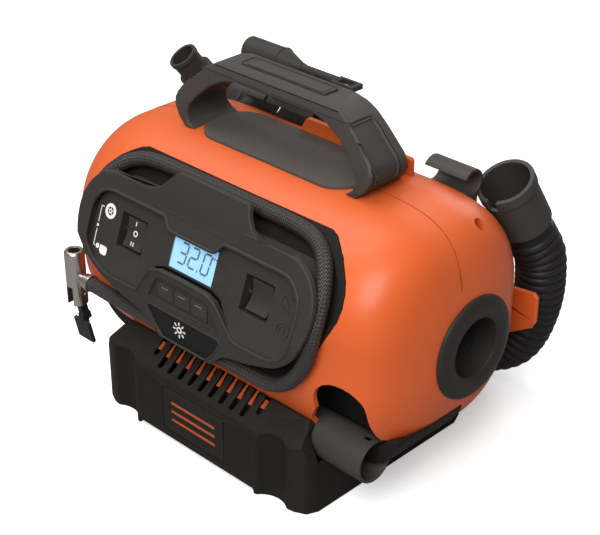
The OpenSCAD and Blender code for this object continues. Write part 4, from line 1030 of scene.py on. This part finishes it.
# Right half of the sunken floor's outline
FLOOR = ([(0, 168), (21, 168), (28, 175.8)] + arc(80, 157.3, 18.5, 90, 0)
         + arc(72.5, 143.5, 26, 0, -85) + [(58, 117.3), (46.5, 118), (38.5, 130), (31, 139.5),
                                           (23, 142), (0, 142.3)])


def lip_mesh(name, half, radius, sunk=0.0):
    """A rounded bead that follows a closed outline on the console's face."""
    loop = both_sides(half)
    loop.append(loop[0])
    line = []
    for (x0, z0), (x1, z1) in zip(loop, loop[1:]):
        steps = max(1, round(math.hypot(x1 - x0, z1 - z0) / 1.5))
        line += [(x0 + (x1 - x0) * k / steps, z0 + (z1 - z0) * k / steps) for k in range(steps)]
    line.append(line[0])
    points = [Vector((x, (face_at(z) if z > FOLD_Z else FACE_Y) + sunk, z)) * MM for x, z in line]
    for _ in range(2):
        points = [points[0]] + [(a + b * 2 + c) / 4 for a, b, c in
                                zip(points, points[1:], points[2:])] + [points[-1]]
    return tube_mesh(name, points, [radius * MM] * len(points), 12, [0.0] * len(points))


def by_key_openings(p):
    """Tells the points of the flange round the key openings, whose edges stay sharp."""
    return abs(p.x) < 0.0258 and 0.1195 < p.z < 0.1355


class INFLATOR_OT_console(bpy.types.Operator):
    """Makes the console's channel, spool, flange and sunken floor"""
    bl_idname = "inflator.console"
    bl_label = "Console"

    def execute(self, context):
        # the channel plate is near black, painted shade of the gap round the hose
        barrel_skin("channel_plate", "Channel black")
        softened("console_hub", "Charcoal moulding", 0.0005)
        softened("front_flange", "Grained charcoal", 0.0011, segments=3, shaped=with_hood,
                 keep=by_key_openings)
        softened("console_panel", "Charcoal moulding", 0.0004)
        new_piece("floor_lip", lip_mesh("floor_lip", FLOOR, 1.3, 0.3), "Grained charcoal")
        new_piece("window_lip", lip_mesh("window_lip", [(0, 113.5), (34.6, 113.5), (35.3, 110),
                                                        (28.8, 99.8), (21, 92.1), (0, 92.1)], 0.8,
                                         0.2), "Grained charcoal")
        clad("lcd_module", "Lit display")
        clad("control_board", "Board black")
        for n in ("left_switch_body", "right_switch_body"):
            clad(n, "Black rubber")
        return {"FINISHED"}


# Segments of a digit: name, start and end on a box 1 wide and 2 high
SEGMENTS = {"a": (0, 2, 1, 2), "b": (1, 2, 1, 1), "c": (1, 1, 1, 0), "d": (0, 0, 1, 0),
            "e": (0, 1, 0, 0), "f": (0, 2, 0, 1), "g": (0, 1, 1, 1)}
DIGITS = {"3": "abgcd", "2": "abged", "0": "abcdef"}


class INFLATOR_OT_display(bpy.types.Operator):
    """Makes the display's window and its dark segment digits"""
    bl_idname = "inflator.display"
    bl_label = "Display"

    def execute(self, context):
        clad("lcd_window", "Display window")
        parts = []
        high, wide, lean, gap = 7.0, 6.4, 0.12, 0.5
        face, thick = on_panel(0, 0, -1.085), 0.07
        for ch, x0 in zip("320", (-14.5, -4.6, 7.2)):
            for s in DIGITS[ch]:
                a = SEGMENTS[s]
                xa, ya = x0 + a[0] * wide + a[1] * high * lean, -high + a[1] * high
                xb, yb = x0 + a[2] * wide + a[3] * high * lean, -high + a[3] * high
                d = Vector((xb - xa, yb - ya)).normalized() * gap
                parts.append(bar("seg", xa + d.x, ya + d.y, xb - d.x, yb - d.y, 1.45, face,
                                 thick))
        parts.append(bar("seg", 4.0, 0.1 - high, 5.2, 0.1 - high, 1.3, face, thick))
        for i in range(3):
            parts.append(bar("seg", 15.5 + i * 1.7, 6.0, 16.5 + i * 1.7, 6.0, 1.6, face, thick))
        new_set("display_digits", parts, "Display ink")
        return {"FINISHED"}


class INFLATOR_OT_switches(bpy.types.Operator):
    """Makes the rockers with their marks and the printed signs beside them"""
    bl_idname = "inflator.switches"
    bl_label = "Switches"

    def execute(self, context):
        for n in ("left_rocker", "right_rocker"):
            softened(n, "Charcoal moulding", 0.0006)
        # marks on the left rocker: on, off in the middle, and two
        top = on_panel(-60, -4, -2.55)
        parts = [bar("m", x, y0, x, y0 + 2.8, 0.8, top, 0.1)
                 for x, y0 in ((0, 5.6), (-1.1, -8.6), (1.1, -8.6))]
        parts += ring_meshes("m", 0, 0, 1.7, 0.75, on_panel(-60, -4, -3.7), 0.1)
        new_set("left_rocker_marks", parts, "White print", "left_rocker")
        # printed signs left of the left rocker: a wheel, a bracket with a dot and a pump
        face, thick = on_panel(0, 0), 0.08
        wheel_x, wheel_y, bracket_x = -84.5, 4, -94
        signs = []
        for cx, cy, r, wide, steps in (
                (wheel_x, wheel_y, 4.2, 2.3, 36), (wheel_x, wheel_y, 1.2, 0.8, 36),
                (bracket_x, -9, 0.55, 1.1, 10), (-89.9, -22.6, 0.9, 1.8, 12)):
            signs += ring_meshes("s", cx, cy, r, wide, face, thick, steps=steps)
        for k in range(5):
            c, s = math.cos(math.radians(90 + 72 * k)), math.sin(math.radians(90 + 72 * k))
            signs.append(bar("s", wheel_x + 1.5 * c, wheel_y + 1.5 * s, wheel_x + 3.2 * c,
                             wheel_y + 3.2 * s, 0.45, face, thick))
        for x0, y0, x1, y1 in ((-91.3, 5, bracket_x, 5), (bracket_x, 5.3, bracket_x, -6.5),
                               (bracket_x, -11.5, bracket_x, -23.3), (bracket_x, -23, -92.4, -23)):
            signs.append(bar("s", x0, y0, x1, y1, 0.7, face, thick))
        pump = [(-87.4, -20.8), (-81.2, -20.8), (-80, -22), (-80, -25.8), (-81.2, -27),
                (-85.6, -27), (-87.4, -25)]
        signs.append(plate_mesh("s", pump, face, thick))
        new_set("left_signs", signs, "White print")
        # raised signs right of the right rocker, in the panel's own colour
        signs = ring_meshes("e", 85, 2, 5.4, 1.2, face, 0.5, 20, 300)
        signs.append(bar("e", 82.5, 4.5, 87.5, -0.5, 1.1, face, 0.5))
        signs.append(bar("e", 85, 6, 89.5, 6, 1.1, face, 0.5))
        signs += ring_meshes("e", 86, -15, 5.0, 1.2, face, 0.5)
        signs += ring_meshes("e", 86, -15, 2.2, 0.9, face, 0.5)
        new_set("right_signs", signs, "Charcoal moulding")
        # faint tick marks right of the display
        ticks = [bar("f", 27, 8 - 5 * i, 27 + long, 8 - 5 * i, 0.8, face, 0.25)
                 for i, long in enumerate((9, 6, 9, 7))]
        new_set("display_ticks", ticks, "Charcoal moulding")
        return {"FINISHED"}


KEY_PITCH = 16.4
# Right half of the light window's outline, and its front and back
LENS_FRONT, LENS_BACK = -93.46, -90.76
LENS = [(0, 112.6), (34, 112.6), (34.3, 110), (28, 100.5), (20.5, 93), (0, 93)]


class INFLATOR_OT_keys(bpy.types.Operator):
    """Makes the three keys and the light window below the display"""
    bl_idname = "inflator.keys"
    bl_label = "Keys and light"

    def execute(self, context):
        for i, name in enumerate(("button_left", "button_mid", "button_right")):
            softened(name, "Charcoal moulding", 0.0007)
            me = bar("key_bar", -3.2, 3.2, 3.2, 3.2, 0.8,
                     upright((i - 1) * KEY_PITCH, FACE_Y + 0.3, 127.5), 0.08)
            new_piece(name + "_mark", me, "Faint print", name)
        lens = new_piece("light_window", prism_mesh(
            "light_window", both_sides(LENS), lambda z: LENS_FRONT, lambda z: LENS_BACK),
            "Dark lens", "light_button")
        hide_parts("light_button")
        rounded(lens, 0.0005)
        face = upright(-4, LENS_FRONT - 0.01, 104)
        sun = ring_meshes("sun", 0, 0, 1.9, 1.1, face, 0.08)
        for k in range(8):
            c, s = math.cos(math.radians(45 * k)), math.sin(math.radians(45 * k))
            sun.append(bar("sun", 3.5 * c, 3.5 * s, 6.0 * c, 6.0 * s, 1.1, face, 0.08))
        new_set("light_mark", sun, "White print", "light_button")
        return {"FINISHED"}


def round_rect(half_x, half_y, radius, mid_y):
    """An outline with round corners, in millimetres."""
    outline = []
    for cx, cy, start in ((1, 1, 0), (-1, 1, 90), (-1, -1, 180), (1, -1, 270)):
        for k in range(7):
            a = math.radians(start + 15 * k)
            outline.append((cx * (half_x - radius) + radius * math.cos(a),
                            mid_y + cy * (half_y - radius) + radius * math.sin(a)))
    return outline


class INFLATOR_OT_handle(bpy.types.Operator):
    """Makes the carrying handle and its plain inlay"""
    bl_idname = "inflator.handle"
    bl_label = "Handle"

    def execute(self, context):
        softened("handle_frame", "Handle charcoal", 0.0018, segments=3, angle=40, smooth=62)
        plain = [plate_mesh("inlay", box_outline(0, 6, 76, 12.6), level(254.85), 0.9),
                 plate_mesh("inlay", round_rect(35, 4.8, 3, 6), level(255.65), 0.65)]
        inlay = new_set("grip_inlay_form", plain, "Handle charcoal")
        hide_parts("grip_inlay")
        rounded(inlay, 0.0003)
        return {"FINISHED"}


class INFLATOR_OT_ports(bpy.types.Operator):
    """Finishes the side ports and their ducts"""
    bl_idname = "inflator.ports"
    bl_label = "Side ports"

    def execute(self, context):
        for n in ("port_ring_left", "port_ring_right"):
            softened(n, "Ring charcoal", 0.0005, smooth=28)
        for n in ("left_duct", "right_duct"):
            clad(n, "Black rubber")
        softened("power_socket", "Charcoal moulding", 0.0003)
        return {"FINISHED"}


class INFLATOR_OT_works(bpy.types.Operator):
    """Finishes the blower and the piston pump inside the housing"""
    bl_idname = "inflator.works"
    bl_label = "Inner works"

    def execute(self, context):
        for look, names in (
                ("Grey housing", ("blower_housing",)),
                ("Brushed steel", ("blower_motor", "compressor_motor", "motor_pinion", "con_rod")),
                ("Pale nylon", ("blower_wheel", "crank_gear")),
                ("Cast alloy", ("compressor_frame", "cylinder", "cylinder_head", "piston"))):
            for n in names:
                clad(n, look)
        return {"FINISHED"}


class INFLATOR_OT_chuck(bpy.types.Operator):
    """Makes the plated tyre chuck with its lever, pin, seal and ferrule"""
    bl_idname = "inflator.chuck"
    bl_label = "Tyre chuck"

    def execute(self, context):
        softened("chuck_body", "Plated metal", 0.0005, smooth=28)
        softened("hose_ferrule", "Plated metal", 0.0004, smooth=28)
        softened("chuck_lever", "Black rubber", 0.0006)
        clad("chuck_pin", "Brushed steel")
        clad("chuck_seal", "Black rubber")
        return {"FINISHED"}


class INFLATOR_OT_nozzles(bpy.types.Operator):
    """Makes the hose ends and the two stored nozzles"""
    bl_idname = "inflator.nozzles"
    bl_label = "Nozzles"

    def execute(self, context):
        for n, look in (("hose_connector", "Handle charcoal"),
                        ("hose_nozzle", "Charcoal moulding"),
                        ("taper_nozzle", "Charcoal moulding"),
                        ("wide_nozzle", "Handle charcoal")):
            softened(n, look, 0.0006, smooth=28)
        return {"FINISHED"}


class INFLATOR_OT_clips(bpy.types.Operator):
    """Makes the clips on the back of the barrel"""
    bl_idname = "inflator.clips"
    bl_label = "Rear clips"

    def execute(self, context):
        for n in ("right_clip", "left_clip", "nozzle_cradle"):
            softened(n, "Handle charcoal", 0.0006, smooth=28)
        return {"FINISHED"}


class INFLATOR_PT_panel(bpy.types.Panel):
    bl_label = "Portable inflator"
    bl_idname = "INFLATOR_PT_panel"
    bl_space_type = "VIEW_3D"
    bl_region_type = "UI"
    bl_category = "Inflator"

    def draw(self, context):
        for group_name in ("inflator_colours", "inflator_sizes"):
            box = self.layout.box()
            props = getattr(context.scene, group_name)
            for key in props.bl_rna.properties.keys():
                if key not in ("rna_type", "name"):
                    box.prop(props, key)
        for op in OPERATORS:
            self.layout.operator(op.bl_idname)


OPERATORS = (INFLATOR_OT_stage, INFLATOR_OT_air_hose, INFLATOR_OT_ribbed_hose, INFLATOR_OT_shells,
             INFLATOR_OT_base, INFLATOR_OT_console, INFLATOR_OT_display, INFLATOR_OT_switches,
             INFLATOR_OT_keys, INFLATOR_OT_handle, INFLATOR_OT_ports, INFLATOR_OT_works,
             INFLATOR_OT_chuck, INFLATOR_OT_nozzles, INFLATOR_OT_clips)
CLASSES = (InflatorColours, InflatorSizes) + OPERATORS + (INFLATOR_PT_panel,)


def register():
    for c in CLASSES:
        bpy.utils.register_class(c)
    bpy.types.Scene.inflator_colours = bpy.props.PointerProperty(type=InflatorColours)
    bpy.types.Scene.inflator_sizes = bpy.props.PointerProperty(type=InflatorSizes)


def unregister():
    del bpy.types.Scene.inflator_sizes
    del bpy.types.Scene.inflator_colours
    for c in reversed(CLASSES):
        bpy.utils.unregister_class(c)


def main():
    register()
    for op in OPERATORS:
        getattr(bpy.ops.inflator, op.bl_idname.split(".")[1])()


if __name__ == "__main__":
    main()
